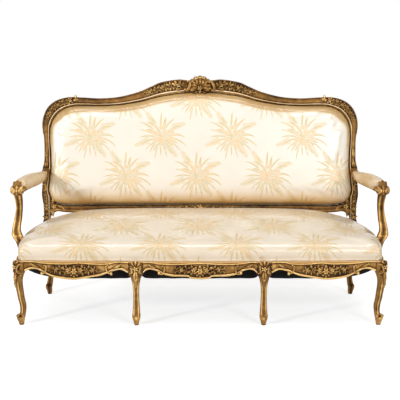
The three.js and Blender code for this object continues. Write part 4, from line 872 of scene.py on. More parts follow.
def damask(colours, m):
    """Silk damask: bouquets on a lattice whose every other row is shifted by half, on a satin ground with a fine
    ribbed weave. Its attribute of tan and shade tans the silk and paints shade on it up to 1, and above 1 mixes in
    a grey-brown painted shade. The weave attribute holds metres across and up the cloth. Of the two lattices, the
    one whose bouquet is nearer draws the spot."""
    f = Finish("cream_silk_damask")
    weave = f.new("ShaderNodeAttribute", attribute_name="weave").outputs["Vector"]
    aged_and_shade = f.attribute("aged_and_shade")
    split = f.new("ShaderNodeSeparateXYZ")
    f.link(weave, split.inputs[0])
    u, v = Field(f.tree, split.outputs["X"]), Field(f.tree, split.outputs["Y"])
    spots = []
    for shift in (0.5, 0.0):
        x = (u / m.pattern_width + shift).math("FRACT") - 0.5
        y = (v / m.pattern_height + shift).math("FRACT") - 0.5
        spots.append((x, y, x.math("ABSOLUTE") + y.math("ABSOLUTE")))
    (x0, y0, far0), (x1, y1, far1) = spots
    second = far0.math("GREATER_THAN", far1)
    join = f.new("ShaderNodeCombineXYZ")
    f.link((x0 + (x1 - x0) * second) * m.pattern_width, join.inputs["X"])
    f.link((y0 + (y1 - y0) * second) * m.pattern_height, join.inputs["Y"])
    drawn = f.new("ShaderNodeGroup")
    drawn.node_tree = bouquet()
    f.link(join.outputs[0], drawn.inputs[0])
    leaves, flowers, sprigs = (Field(f.tree, socket) for socket in drawn.outputs)
    cloud, hue, thread = f.noise(7, 2, weave), f.noise(22, 1, weave), f.noise(900, 2, weave)
    ground = f.shades(cloud, [(0.3, colours.silk), (0.7, toned(colours.silk, 0.95))])
    tint = f.mixed(hue.ramp(0.5, 0.68), colours.silk_leaf, colours.silk_bloom)
    base = f.mixed((leaves + sprigs * 0.7).math("MINIMUM", 1.0) * 0.9, ground, tint)
    base = f.mixed(flowers * 0.92, base, f.mixed(hue.ramp(0.6, 0.4), colours.silk_bloom, colours.silk_tan_and_shade))
    # Up to 1 the tan multiplies in, standing both for tanned silk and for painted shade; above 1 the grey-brown
    # painted shade is mixed in.
    tan = (aged_and_shade.math("MINIMUM", 1.0) * (cloud * 0.6 + 0.7)).math("MINIMUM", 1.0)
    base = f.mixed(tan, base, colours.silk_tan_and_shade, "MULTIPLY")
    base = f.mixed((aged_and_shade - 1).math("MAXIMUM", 0.0), base, colours.silk_painted_shade)
    ribs = (v * (2 * math.pi / RIB_PITCH)).math("SINE") + (u * (2 * math.pi / WARP_PITCH)).math("SINE") * 0.4
    woven_up = (leaves + flowers + sprigs * 0.5) * 0.8
    f.bump(ribs * 0.2 + thread * 0.5 + woven_up, 0.0002, 0.5)
    rough = 0.21 + (leaves + flowers + sprigs * 0.6).math("MINIMUM", 1.0) * 0.2 + thread * 0.06
    return f.done(base, rough, Sheen_Weight=0.1, Sheen_Roughness=0.4, Specular_IOR_Level=0.9)


def dust_cloth(colours):
    """Thin black cloth with a plain weave and a little lint, its black deepened to paint the shade under the seat.
    """
    f = Finish("black_dust_cloth")
    lint, warp = f.noise(260, 4), f.threads("X", 300, f.place())
    base = f.shades(lint, [(0.4, colours.black_cloth), (0.75, [3.2 * c + 0.01 for c in colours.black_cloth])])
    f.bump(warp * 0.5 + lint, 0.0004, 0.6)
    return f.done(base, 0.95, Specular_IOR_Level=0.15)


def beech_wood(colours):
    """Plain beech: long streaks along the board and short dark flecks."""
    f = Finish("plain_beech")
    streak = f.noise(9, 5, f.place(1, 14, 14), 0.6)
    fleck = f.noise(60, 2, f.place(0.6, 6, 6))
    base = f.shades(streak, [
        (0.25, toned(colours.beech, 0.72)), (0.55, colours.beech), (0.8, toned(colours.beech, 1.2))])
    base = f.mixed(fleck.ramp(0.62, 0.72) * 0.5, base, toned(colours.beech, 0.45))
    f.bump(streak + fleck * 0.5, 0.0005, 0.5)
    return f.done(base, 0.6 + streak * 0.15)


def spring_steel(colours):
    """Oiled steel with brown spots of rust."""
    f = Finish("oiled_steel")
    spots, fine = f.noise(90, 4), f.noise(700, 2)
    base = f.shades(spots, [(0.45, colours.steel), (0.68, toned(colours.steel, 0.6)), (0.8, (0.16, 0.07, 0.03))])
    f.link(spots.ramp(0.75, 0.6), f.shader.inputs["Metallic"])
    f.bump(fine, 0.0002, 0.4)
    return f.done(base, 0.36 + spots * 0.2)


def jute_cloth(colours):
    """Coarse jute: two crossing sets of threads with slubs."""
    f = Finish("woven_jute")
    mesh = f.threads("X", 130, f.place(), 1.5) * f.threads("Y", 130, f.place(), 1.5)
    slub = f.noise(140, 3)
    base = f.shades(mesh * 0.6 + slub * 0.4, [
        (0.15, toned(colours.jute, 0.35)), (0.5, colours.jute), (0.85, toned(colours.jute, 1.35))])
    f.bump(mesh + slub * 0.5, 0.0008, 0.8)
    return f.done(base, 0.92)


# Materials by look, filled by the first operator.
finishes = {}


class MakeFinishes(bpy.types.Operator):
    """Make the materials of the canape and put them on the hidden frame."""
    bl_idname = "canape.finishes"
    bl_label = "Finishes"

    def execute(self, context):
        colours = context.scene.canape_colours
        finishes.update(
            gilt=gilding(colours), damask=damask(colours, measures()), black=dust_cloth(colours),
            beech=beech_wood(colours), steel=spring_steel(colours), jute=jute_cloth(colours))
        worn_by = {
            "beech": ("rear_rail", "seat_brace", "front_corner_block", "rear_corner_block", "crest_dowel"),
            "steel": ("arm_screw", "support_screw", "spring_row"),
            "jute": ("seat_webbing", "seat_burlap", "back_webbing", "back_burlap"),
            "black": ("dust_cover",),
            "damask": ("back_panel", "seat_gimp"),
        }
        for name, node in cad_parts.items():
            look = next((key for key, heads in worn_by.items() if name.startswith(heads)), "gilt")
            node.data.materials.clear()
            node.data.materials.append(finishes[look])
            if look == "gilt":
                tone = node.data.attributes.new("tone", "FLOAT", "POINT")
                tone.data.foreach_set("value", np.full(len(node.data.vertices), PLAIN_TONE))
        return {"FINISHED"}


# Back frame.

def crest_lines(m, samples):
    """Outer and inner edge of the crest rail from joint to joint, as (x, rise)."""
    sizes = [m.back_half, m.back_rise, m.back_half, m.back_rise]
    outer, inner = m.post_x + STILE[0, 1:] * m.post_width
    joint = [outer, m.joint_rise, inner, m.joint_rise]
    line = spline(both_halves(np.vstack([CREST * sizes, joint])), samples)
    return line[:, :2], line[:, 2:]


def lower_lines(m, samples):
    """Lower and upper edge of the lower back rail."""
    sizes = [m.lower_end_x, m.back_rise, m.lower_end_x, m.back_rise]
    line = spline(both_halves(LOWER_RAIL * sizes), samples)
    return line[:, :2], line[:, 2:]


def stile_line(m, samples):
    """Rise, outer x and inner x of the right stile."""
    line = spline(STILE, samples)
    return line[:, 0] * m.back_rise, m.post_x + line[:, 1] * m.post_width, m.post_x + line[:, 2] * m.post_width


def sunk(way, depth):
    """Where the face of the frame is the sunken ground between its mouldings."""
    return (way > 0.03) & (way < 0.73) & (depth < 0)


def moulded(m, outer, inner, face=FRAME_FACE, carved=0.0):
    """Strip between an outer and an inner line whose section is the frame's face and its plain back. Where carved
    is 1 the ground is dark under the ornament."""
    way, depth, tone = face.T
    at = outer[:, None, :] + (inner - outer)[:, None, :] * way[None, :, None]
    shade = 1 - 0.35 * np.broadcast_to(carved, len(outer))[:, None] * sunk(way, depth)[None, :]
    return shell(on_back(m, at[..., 0], at[..., 1], depth[None, :]), tone[None, :] * shade)


# Leaves on both flanks of the crest's shell: across, above its centre, length, turn, width over length, height.
SHELL_LEAVES = (
    (.018, -.008, .04, -.2, .46, .011), (.012, -.012, .026, -.9, .46, .011), (.012, .046, .034, -.35, .46, .011),
    (.088, .012, .036, .5, .44, .009), (.092, -.002, .032, -.25, .44, .009), (.086, .004, .03, 1.3, .44, .009))


class BuildCrest(bpy.types.Operator):
    """Crest rail with its carved sprays, and the shell on its middle."""
    bl_idname = "canape.crest"
    bl_label = "Crest rail"

    def execute(self, context):
        m = measures()
        outer, inner = crest_lines(m, 420)
        x, rise = outer.T
        sprayed = smoothstep(0.3 - np.abs(x), 0, 0.06)
        cornered = smoothstep(np.abs(x), 0.62, 0.645) * smoothstep(rise, 0.475, 0.5)
        body = moulded(m, outer, inner, carved=np.maximum(sprayed, cornered))
        line = even(outer * 0.56 + inner * 0.44, 1200)
        half = line[len(line) // 2:]
        run = distances(half)
        corner = float(np.interp(0.665, half[:, 0], run))
        foot = float(run[np.argmax((half[:, 0] > 0.7) & (half[:, 1] < 0.49))])
        right = spray(half, 0.108, 0.285, size=0.036, seed=5)
        right += spray(half, corner, foot, size=0.028, seed=8)
        knob = half[np.searchsorted(run, corner - 0.026)]
        right += [laid(leaf(0.03, 0.02, 0.009, 0.2), knob + [0.012, 0.003], math.pi - 0.2),
                  laid(bead(0.014, 0.014, 0.012), knob + [0.004, 0.002]),
                  laid(bead(0.02, 0.014, 0.009), (0.638, m.back_rise * 0.866))]
        carved = [(points, tone * 1.18) for points, tone in onto_back(m, right)]
        piece("crest_rail_gilt", [body, *carved, *mirrored(carved)], "gilt", "crest_rail")
        piece("crest_shell_gilt", self.cluster(m), "gilt", "crest_shell")
        return {"FINISHED"}

    def cluster(self, m):
        """Large fan, a smaller one before it, a flower at their centre, scrolls on both flanks and a pendant."""
        centre = m.back_rise - m.shell_drop
        dip = math.radians(14)
        back = onto_back(m, [laid(fan(m.shell_radius, m.shell_lobes, dip, 0.014, 0.002, 0), (0, centre))], 0.004)
        parts = [laid(roll(m.shell_radius * 0.78, 0.011, 0.009, 0.55, math.pi - 0.2), (0, centre + 0.001)),
                 laid(fan(m.shell_radius * 0.62, m.shell_lobes - 2, dip, 0.006, 0.005, 0.05), (0, centre + 0.001)),
                 laid(bloom(0.013, 0.015), (0, centre + 0.001)),
                 laid(leaf(0.026, 0.02, 0.01, 0.0), (0, centre - 0.003), -math.pi / 2)]
        for s in (1, -1):
            parts += [laid(p, (s * 0.062, centre + 0.012), s * -1.2, s < 0)
                      for p in scroll_with_eyes(0.046, 0.016, 0.017, turn=4.4)]
            parts += [sided(leaf(long, long * share, height, 0.7), s, (across, up), turn, (0, centre))
                      for across, up, long, turn, share, height in SHELL_LEAVES]
        return [(points, tone * 0.8) for points, tone in back + onto_back(m, parts, 0.013)]


class BuildLowerRail(bpy.types.Operator):
    """Lower rail of the back with a spray of flowers on its middle."""
    bl_idname = "canape.lower_rail"
    bl_label = "Lower back rail"

    def execute(self, context):
        m = measures()
        outer, inner = lower_lines(m, 260)
        body = moulded(m, outer, inner, LOWER_FACE, smoothstep(0.15 - np.abs(outer[:, 0]), 0, 0.05))
        middle = even(outer * 0.55 + inner * 0.45, 700)
        half = middle[len(middle) // 2:]
        carved = spray(half, 0.024, 0.17, size=0.026, seed=11, flowers=2)
        end = np.array([m.lower_end_x - 0.03, m.back_rise * 0.05])
        carved += [laid(leaf(0.05, 0.02, 0.008, 0.9), end + [-0.004, 0.006], math.pi + 0.15),
                   laid(leaf(0.045, 0.02, 0.008, 0.7), end + [0.014, 0.012], 1.35),
                   laid(leaf(0.04, 0.018, 0.008, 0.6), end + [0.012, -0.012], -1.2, True),
                   laid(bloom(0.012, 0.01), end + [0.01, 0.0])]
        carved = onto_back(m, carved)
        centre = onto_back(m, [laid(bloom(0.015, 0.012), (0, m.back_rise * 0.047))])
        piece("lower_back_rail_gilt", [body, *carved, *mirrored(carved), *centre], "gilt", "lower_back_rail")
        return {"FINISHED"}


class BuildPosts(bpy.types.Operator):
    """Back posts: moulded stile above, rear leg below, in one."""
    bl_idname = "canape.posts"
    bl_label = "Back posts"

    def execute(self, context):
        m = measures()
        rise, outer_x, inner_x = stile_line(m, 170)
        rise[0] -= GAP
        way, depth, tone = FRAME_FACE.T
        x = outer_x[:, None] + (inner_x - outer_x)[:, None] * way[None, :]
        stile = on_back(m, x, rise[:, None], depth[None, :])
        angle = np.arctan2(depth / m.frame_back * 2 - 0.8, 1 - 2 * way)[None, :]
        share, drift_x, drift_y, wide, deep = spline(REAR_LEG, 120).T[..., None]
        a, b = rounded_square(angle, 7 - 4.2 * smoothstep(0.85 - share, 0, 0.15))
        furrow = 0.25 * smoothstep(0.85 - share, 0, 0.1) * smoothstep(share, 0.13, 0.25)
        b = b + furrow * hump(a, 0, 0.4) * (b < 0)
        lower = stack(m.post_x + LEG_SWING * drift_x + a * wide * m.post_width / 2,
                      m.post_y + LEG_SWING * drift_y + b * deep * m.post_depth / 2, m.rail_top * share)
        leg_tone = np.clip(0.55 + 0.35 * np.abs(a) - 0.5 * hump(a, 0, 0.35) * (b < 0), 0, 1)
        carved = smoothstep(0.13 - rise, 0, 0.02) + smoothstep(0.02 - np.abs(rise - 0.225), 0, 0.015)
        shade = 1 - 0.7 * np.minimum(carved, 1)[:, None] * sunk(way, depth)[None, :]
        body = (np.vstack([stile, lower]), np.vstack([tone[None, :] * shade, leg_tone]))
        line = np.stack([outer_x * 0.55 + inner_x * 0.45, rise], -1)[::-1]

        def at(part):
            """Place on the stile at a part of the back's rise."""
            return np.array([np.interp(part * m.back_rise, line[:, 1], line[:, 0]), part * m.back_rise])

        motifs = [laid(leaf(0.06, 0.02, 0.008, 0.15), at(0.49), -math.pi / 2),
                  laid(leaf(0.034, 0.014, 0.007, 0.3), at(0.42), -math.pi / 2),
                  laid(leaf(0.036, 0.03, 0.012, 0.2), at(0.335), math.pi / 2),
                  laid(bead(0.02, 0.018, 0.013), at(0.325)), laid(bead(0.013, 0.013, 0.011), at(0.292)),
                  laid(leaf(0.03, 0.026, 0.01, 0.2), at(0.285), -math.pi / 2)]
        motifs += spray(line, 0.02, 0.155, size=0.026, seed=23, flowers=2)
        motifs += [laid(p, at(0.195), 1.4) for p in scroll_with_eyes(0.034, 0.008, 0.008)]
        carved = onto_back(m, motifs)
        foot = volute((m.post_x - 0.002, m.post_y - 0.006, 0.044), (1, 0, 0), (0, 0, 1), (0, 1, 0),
                      radius=0.0135, width=0.026)
        pair("back_post_gilt", [body, *carved, foot], "gilt", "back_post")
        return {"FINISHED"}


# Seat frame.

# Face of a seat rail, lower edge to top: distance from the lower edge, distance from the top, relief, tone.
RAIL_FACE = np.array([
    [0, None, .2, .5], [.001, None, .6, .9], [.003, None, 1, 1.35], [.0072, None, 1, 1.4], [.0098, None, .7, 1],
    [.0115, None, .15, .08], [.0135, None, .1, .35], [.019, None, .35, .7], [None, .018, .5, .76],
    [None, .012, .45, .6], [None, .0085, .25, .25], [None, .0075, .3, .1], [None, .006, .7, .6],
    [None, .004, .9, 1.2], [None, .0022, .85, 1.35], [None, .0008, .6, 1], [None, 0, .3, .4]], float)
# How far the carved top of a front rail rises over the rail: share of the bay, metres.
SIDE_LIP = np.array([
    [0, .008], [.06, .01], [.13, .0085], [.2, .001], [.36, .001], [.48, .005], [.6, .0005], [.8, .003], [.9, .009],
    [1, .01]])
MIDDLE_LIP = np.array([[0, .0045], [.15, .003], [.35, .0005], [.6, .0005], [.75, .004], [.88, .0095], [1, .0095]])


def rail_section(low, top, relief):
    """Heights, reliefs and tones of a rail's face for each lower edge: set out from the edge it lies near."""
    up, down, share, tone = RAIL_FACE.T
    height = np.where(np.isnan(up), np.broadcast_to(top, len(low))[:, None] - down, low[:, None] + up)
    return height, share * relief, tone


def front_rail(m, rows, carved, lip):
    """Rail over rows of (x, lower edge): the face up to its carved lip, then the plain top and back. Where carved
    is 1 the ground is dark under the ornament."""
    x, low = rows.T
    share = (x - x[0]) / np.ptp(x) if x[0] > 0 else np.abs(x) / x.max()
    ledge = m.rail_top + np.interp(share, *spline(lip, 60).T)
    z, relief, tone = rail_section(low, ledge, m.front_relief)
    face = stack(x[:, None], front_face(m, x)[:, None] - relief, z)
    near = front_face(m, x) - LIP_SETBACK
    rest = np.stack([stack(x, near, ledge), stack(x, near, m.rail_top),
                     stack(x, m.rail_back, m.rail_top), stack(x, m.rail_back, low)], 1)
    ground = (z > low[:, None] + 0.011) & (z < m.rail_top - 0.009)
    tone = tone * (1 - 0.9 * carved[:, None] * ground)
    return np.concatenate([face, rest], 1), np.concatenate([tone, np.full((len(rows), 4), 0.3)], 1)


def edge_at(rows, x):
    """Height of a rail's lower edge at a place along it."""
    return float(np.interp(x, rows[:, 0], rows[:, 1]))


def drop_knob(m, x, z):
    """Rounded drop where two curves of the lower edge meet."""
    return onto_rail(m, [laid(bead(0.014, 0.018, 0.008), (x, z), 1.57)], 0.006)


class BuildFrontRails(bpy.types.Operator):
    """Scalloped front rails with their carved sprays and scrolls."""
    bl_idname = "canape.front_rails"
    bl_label = "Front rails"

    def execute(self, context):
        m = measures()
        self.side_bay(m)
        self.middle_bay(m)
        return {"FINISHED"}

    def side_bay(self, m):
        start, end = m.mid_outer_x + GAP, m.inner_leg_x - GAP
        line = spline(SIDE_BAY, 220)
        rows = np.stack([start + (end - start) * line[:, 0], line[:, 1] * m.rail_top], -1)
        mid = start + (end - start) * 0.52
        motifs = self.apron(m, mid, edge_at(rows, mid), reach=0.125, seed=31)
        for x, turn, flip in ((0.425, -1.9, False), (0.72, -1.25, True)):
            motifs += self.edge_scroll(rows, x, 0.018, turn, flip)
        for x, angle, flip in ((0.405, 2.9, True), (0.74, 0.25, False)):
            motifs.append(laid(self.scroll_leaf(), (x, 0.278), angle, flip))
        carved = onto_rail(m, motifs) + drop_knob(m, 0.41, 0.254) + drop_knob(m, 0.732, 0.253)
        body = front_rail(m, rows, smoothstep(0.12 - np.abs(rows[:, 0] - mid), 0, 0.03), SIDE_LIP)
        pair("front_rail_gilt", [body, *carved], "gilt", "front_rail")

    def middle_bay(self, m):
        line = spline(np.vstack([MIDDLE_BAY[:0:-1] * [-1, 1], MIDDLE_BAY]), 240)
        rows = np.stack([line[:, 0] * (m.mid_inner_x - GAP), line[:, 1] * m.rail_top], -1)
        motifs = self.apron(m, 0.0, edge_at(rows, 0.0), reach=0.135, seed=37)
        sides = self.edge_scroll(rows, 0.172, 0.019, -1.35, True)
        sides.append(laid(self.scroll_leaf(), (0.2, 0.279), 0.2))
        sides = onto_rail(m, sides) + drop_knob(m, 0.189, 0.258)
        body = front_rail(m, rows, smoothstep(0.13 - np.abs(rows[:, 0]), 0, 0.03), MIDDLE_LIP)
        piece("front_rail_middle_gilt", [body, *onto_rail(m, motifs), *sides, *mirrored(sides)], "gilt",
              "front_rail_middle")

    def edge_scroll(self, rows, x, rise, turn, flip):
        """C-scroll that stands on the lower edge."""
        return [laid(p, (x, edge_at(rows, x) + rise), turn, flip) for p in scroll_with_eyes(0.04, 0.009, 0.01)]

    def scroll_leaf(self):
        """Leaf that grows out of a scroll."""
        return leaf(0.052, 0.016, 0.008, 0.5)

    def apron(self, m, x, low, reach, seed):
        """Fan of leaves over a bay's lowest point, with a flower on it and a spray running out to each side."""
        z = (low + m.rail_top) / 2
        made = [laid(fan(0.027, 5, 0.35, 0.006, 0.005), (x, z - 0.002), math.pi),
                laid(leaf(0.03, 0.02, 0.01, 0.0), (x, z + 0.004), math.pi / 2),
                laid(bloom(0.015, 0.014, 6), (x, z + 0.002))]
        for s in (1, -1):
            made += [sided(leaf(long, long * 0.5, 0.01, 0.6), s, (0.01, 0.002), turn, (x, z))
                     for turn, long in ((0.35, 0.032), (-0.5, 0.03), (1.0, 0.024))]
            out = np.linspace(0.03, reach, 60)
            line = np.stack([x + s * out, z + 0.004 + 0.005 * np.sin(out / reach * np.pi)], -1)
            made += spray(line, 0.0, reach - 0.045, size=0.034, seed=seed + s, flowers=2)
        return made


class BuildSideRails(bpy.types.Operator):
    """Bowed side rails with a small spray on their middle."""
    bl_idname = "canape.side_rails"
    bl_label = "Side rails"

    def execute(self, context):
        m = measures()
        rows = spline(SIDE_RAIL, 150)
        y = m.side_start + (m.side_end - m.side_start) * np.clip(rows[:, 0], 0, 1)
        low = rows[:, 3] * m.rail_top
        middle = m.corner_x + (m.post_x - m.corner_x) * rows[:, 1] + m.side_bow * rows[:, 2]
        z, relief, tone = rail_section(low, m.rail_top, m.front_relief)
        half = m.side_rail_thickness / 2
        face = stack(middle[:, None] + half + relief, y[:, None], z)
        back = np.stack([stack(middle - half, y, m.rail_top), stack(middle - half, y, low)], 1)
        tones = np.concatenate([np.broadcast_to(tone, z.shape), np.full((len(y), 2), 0.3)], 1)
        motifs = [laid(bloom(0.014, 0.012), SIDE_SPRAY)]
        for s in (1, -1):
            line = SIDE_SPRAY + np.linspace([0.024 * s, 0], [0.1 * s, 0], 40)
            motifs += spray(line, 0, 0.07, size=0.03, seed=40 + s, flowers=2)
        body = (np.concatenate([face, back], 1), tones)
        pair("side_rail_gilt", [body, *onto_side(m, motifs)], "gilt", "side_rail")
        return {"FINISHED"}


class BuildFrontLegs(bpy.types.Operator):
    """Cabriole legs in front, channelled, with leaves on their knees and scrolled feet."""
    bl_idname = "canape.front_legs"
    bl_label = "Front legs"

    def execute(self, context):
        m = measures()
        pair("corner_leg_gilt", self.corner(m), "gilt", "corner_leg")
        pair("middle_leg_gilt", self.middle(m), "gilt", "middle_leg")
        return {"FINISHED"}

    def limb(self, share, centre, half_x, half_y, facing):
        """Rounded square about a swinging centre, its tip rounded off, with a shallow channel between two ridges
        down the side it faces and a dark hollow for the knee's ornament."""
        angle = around(56)
        power = 8 - 4.6 * smoothstep(0.86 - share, 0, 0.08) - 1.2 * smoothstep(0.07 - share, 0, 0.05)
        a, b = rounded_square(angle, power)
        away = np.angle(np.exp(1j * (angle - facing)))
        depth = smoothstep(0.74 - share, 0, 0.1) * smoothstep(share, 0.12, 0.22)
        channel = hump(away, 0, 0.26)
        ridges, groove = hump(np.abs(away), 0.62, 0.16), hump(np.abs(away), 0.95, 0.12)
        tip = 0.84 + 0.16 * np.sqrt(1 - (1 - np.clip(share / 0.045, 0, 1)) ** 2)
        form = (1 - depth * (0.1 * channel - 0.06 * ridges + 0.04 * groove)) * tip
        points = stack(centre[0] + a * form * half_x, centre[1] + b * form * half_y, centre[2])
        knee = smoothstep(share, 0.77, 0.81) * (np.abs(away) < 0.9)
        tone = 0.56 + depth * (0.6 * ridges - 0.22 * channel - 0.4 * groove) - 0.45 * knee
        return points, np.clip(tone + 0.2 * smoothstep(0.16 - share, 0, 0.04), 0.04, 1.2)

    def with_knee(self, m, share, swing, axis, drift, half, facing, motifs, off):
        """A limb whose axis swings from its place at the top along drift, with motifs wrapped round its knee at
        off times its half depth."""
        share = np.clip(share, 0, 1)
        z = m.rail_top * share
        body = self.limb(share, (axis[0] + drift[0] * swing, axis[1] + drift[1] * swing, z), *half, facing)

        def at(height, column):
            return np.interp(height, z[::-1, 0], column[::-1, 0])

        def centre(height):
            return [start + way * at(height, swing) for start, way in zip(axis, drift)]

        return [body, *round_leg(motifs, centre, facing, lambda height: at(height, half[1]) * off)]

    def corner(self, m):
        share, swing, size = spline(CORNER_LEG, 170).T[..., None]
        facing = -math.pi / 4
        motifs = [laid(p, (0, 0.283)) for p in cartouche(0.052, 0.078)]
        motifs += [laid(leaf(0.05, 0.02, 0.008, 0.0), (0, 0.222), -math.pi / 2),
                   laid(bead(0.01, 0.01, 0.008), (0, 0.222)), laid(bead(0.008, 0.008, 0.006), (0, 0.19))]
        half = size * m.corner_leg_width / 2
        made = self.with_knee(m, share, swing, (m.corner_x, 0), (LEG_SWING, -LEG_SWING), (half, half), facing,
                              motifs, 1.03)
        up = np.array([0, 0, 1.0])
        out = np.array([math.cos(facing), math.sin(facing), 0])
        side = np.array([-math.sin(facing), math.cos(facing), 0])
        base = np.array([m.corner_x - 0.003, 0.003, 0.041])
        made.append(volute(base + out * 0.012, out, up, side, radius=0.0115, width=0.022))
        for s in (1, -1):
            made.append(volute(base + side * s * 0.01 + out * 0.004, side * s, up, out, radius=0.0105, width=0.02))
        return made

    def middle(self, m):
        share, swing, wide, deep = spline(MID_LEG, 170).T[..., None]
        motifs = [laid(p, (0, 0.28)) for p in cartouche(0.062, 0.062)]
        motifs += [laid(leaf(0.045, 0.016, 0.007, 0.0), (0, 0.226), -math.pi / 2),
                   laid(bead(0.009, 0.009, 0.007), (0, 0.225))]
        half = (wide * m.mid_leg_width / 2, deep * m.mid_leg_depth / 2)
        made = self.with_knee(m, share, swing, (m.mid_x, m.mid_y), (0, MIDDLE_LEG_SWING), half, -math.pi / 2,
                              motifs, 1.02)
        foot_y = m.mid_y + MIDDLE_LEG_SWING * 0.83
        for s in (1, -1):
            made.append(volute((m.mid_x + s * 0.0088, foot_y, 0.046), (s, 0, 0), (0, 0, 1), (0, 1, 0),
                               radius=0.0092, width=0.028))
        made.append(volute((m.mid_x, foot_y - 0.013, 0.032), (0, -1, 0), (0, 0, 1), (1, 0, 0),
                           radius=0.0105, width=0.016))
        return made


# Arms.

def arm_line(m, samples):
    """Way, x, y, underside, top and half width along the arm."""
    line = spline(ARM, samples)
    way = np.clip(line[:, 0], 0, 1)
    return SimpleNamespace(
        way=way, x=m.arm_x + (m.arm_back_x - m.arm_x) * line[:, 1],
        y=m.arm_tip_y + (m.arm_joint[1] - m.arm_tip_y) * way,
        low=m.arm_bottom + line[:, 2] * m.arm_thickness, high=m.arm_bottom + line[:, 3] * m.arm_thickness,
        half=line[:, 4] * m.arm_width / 2)


class BuildArms(bpy.types.Operator):
    """Arms with fluted, rolled hand rests."""
    bl_idname = "canape.arms"
    bl_label = "Arms"

    def execute(self, context):
        m = measures()
        line = arm_line(m, 200)
        angle = around(48)
        a, b = rounded_square(angle, 3.2)
        rest = smoothstep(0.16 - line.way, 0, 0.05)[:, None]
        flute = 1 - 0.1 * rest * (0.5 - 0.5 * np.cos(angle * 8)) * (b > -0.6)
        mid = (line.low + line.high) / 2
        z = mid[:, None] + b * flute * (line.high - line.low)[:, None] / 2
        lean = smoothstep(line.way, 0.93, 1)[:, None] * (z - m.arm_joint[2]) * math.tan(m.back_rake)
        points = stack(line.x[:, None] + a * flute * line.half[:, None], line.y[:, None] + lean, z)
        tone = 0.45 + 0.3 * np.abs(a) ** 4 + rest * 0.35 * np.cos(angle * 8)
        up, out = (0, 0, 1), (0, -1, 0)
        extra = []
        for s in (1, -1):
            at = (m.arm_x + s * 0.0235, m.arm_tip_y + 0.021, m.arm_bottom + 0.021)
            extra.append(volute(at, out, up, (s, 0, 0), radius=0.0175, width=0.012, turns=1.6))
        at = np.array([m.arm_x, m.arm_tip_y + 0.012, m.arm_bottom + 0.012])
        for k in (-1, 0, 1):
            extra.append(volute(at + [k * 0.0115, 0, 0.004], out, up, (1, 0, 0),
                                radius=0.0145, width=0.009, turns=1.2))
        for k in (-1, 0, 1):
            grown, shade = leaf(0.045 - 0.008 * abs(k), 0.02, 0.005, 0.9 * k)
            w, t = grown[..., 1] + k * 0.013 - k * 0.25 * grown[..., 0], grown[..., 0]
            rise = 0.03 * np.sin(np.minimum(t / 0.045, 1) * np.pi * 0.5)
            extra.append((stack(m.arm_x + w, m.arm_tip_y + 0.012 + t * 0.8,
                                m.arm_bottom + 0.036 + rise + grown[..., 2] - 9 * w ** 2), shade * 0.7))
        pair("arm_gilt", [(points, np.clip(tone, 0, 1.2)), *extra], "gilt", "arm")
        return {"FINISHED"}


class BuildSupports(bpy.types.Operator):
    """Swept arm supports with a deep channel down their front."""
    bl_idname = "canape.supports"
    bl_label = "Arm supports"

    def execute(self, context):
        m = measures()
        share, way, bend_x, bend_y, wide, deep = spline(SUPPORT, 150).T[..., None]
        share = np.clip(share, 0, 1)
        foot, top = m.rail_top + GAP, m.arm_bottom - GAP
        x = m.support_foot_x + (m.arm_x - m.support_foot_x) * way + SUPPORT_SWING_X * bend_x
        y = m.support_foot_y + (m.support_top_y - m.support_foot_y) * way + SUPPORT_SWING_Y * bend_y
        angle = around(56)
        a, b = rounded_square(angle, 3)
        centre = -math.pi / 2 + 0.5 * (share - 0.45)
        away = np.angle(np.exp(1j * (angle - centre)))
        depth = smoothstep(share, 0.16, 0.24) * smoothstep(1 - share, 0, 0.04)
        channel = hump(away, 0, 0.27)
        ridges, side_shade = hump(np.abs(away), 0.66, 0.18), hump(np.abs(away), 1.1, 0.14)
        collar = hump(share, 0.295, 0.016) + 0.7 * hump(share, 0.25, 0.012)
        form = 1 - depth * (0.26 * channel - 0.05 * ridges) + 0.06 * collar
        points = stack(x + a * form * wide * SUPPORT_HALF_WIDTH, y + b * form * deep * SUPPORT_HALF_DEPTH,
                       foot + (top - foot) * share)
        # Painted shade: a dark line down each side of the support, beyond its ridges.
        tone = 0.5 + depth * (0.6 * ridges - 0.38 * channel - 0.3 * side_shade) + 0.35 * collar + 0 * a
        pair("arm_support_gilt", [(points, np.clip(tone, 0, 1.2))], "gilt", "arm_support")
        return {"FINISHED"}


# Upholstery.

def seat_line(m, inset, samples, y):
    """Line round the right half of the seat inside the faces of its rails, in three parts: the bowed front, two
    points of the rounded corner, and the bowed side at each y."""
    x = np.linspace(0, m.seat_half_width - CORNER_ROUNDING, samples)
    front = np.stack([x, front_face(m, x) + inset], -1)
    side = np.stack([side_face(m, y) - inset, y], -1)
    corner = front[-1] + (side[0] - front[-1]) * [[0.5, 0.12], [0.86, 0.45]]
    return front, corner, side


def seat_outline(m, inset, samples=240):
    """Right half of the seat's outline, front to back, with a hollow where the arm support stands and a step in
    front of the post."""
    front, corner, side = seat_line(m, inset, 40, np.linspace(m.side_start + 0.011, m.side_end, 160))
    edge, y = side.T
    near = smoothstep(0.036 - np.abs(y - m.support_foot_y + 0.002), 0, 0.014)
    edge = edge - near * (edge - (m.support_foot_x - 0.024))
    edge = edge - smoothstep(y, m.side_end - 0.02, m.side_end) * (edge - m.post_inner_x + 0.004)
    side, last = np.stack([edge, y], -1), edge[-1]
    rear = np.array([[last, m.cushion_back - 0.004], [last - 0.004, m.cushion_back]])
    inward = np.stack([np.linspace(last - 0.03, 0, 30), np.full(30, m.cushion_back)], -1)
    return even(np.vstack([front, corner, side, rear, inward]), samples)


def seat_crown(m, x, y):
    """Height of the stuffing above the rails: it rises to the back and falls off towards the sides, more
    behind than in front."""
    rise = smoothstep(y, 0, m.seat_depth * 0.6)
    reach = side_face(m, np.clip(y, m.side_start, m.side_end))
    fall = 1 - (0.08 + 0.24 * rise) * np.minimum(1, np.abs(x) / reach) ** 4
    return (m.cushion_front + (m.cushion_rear - m.cushion_front) * rise) * fall


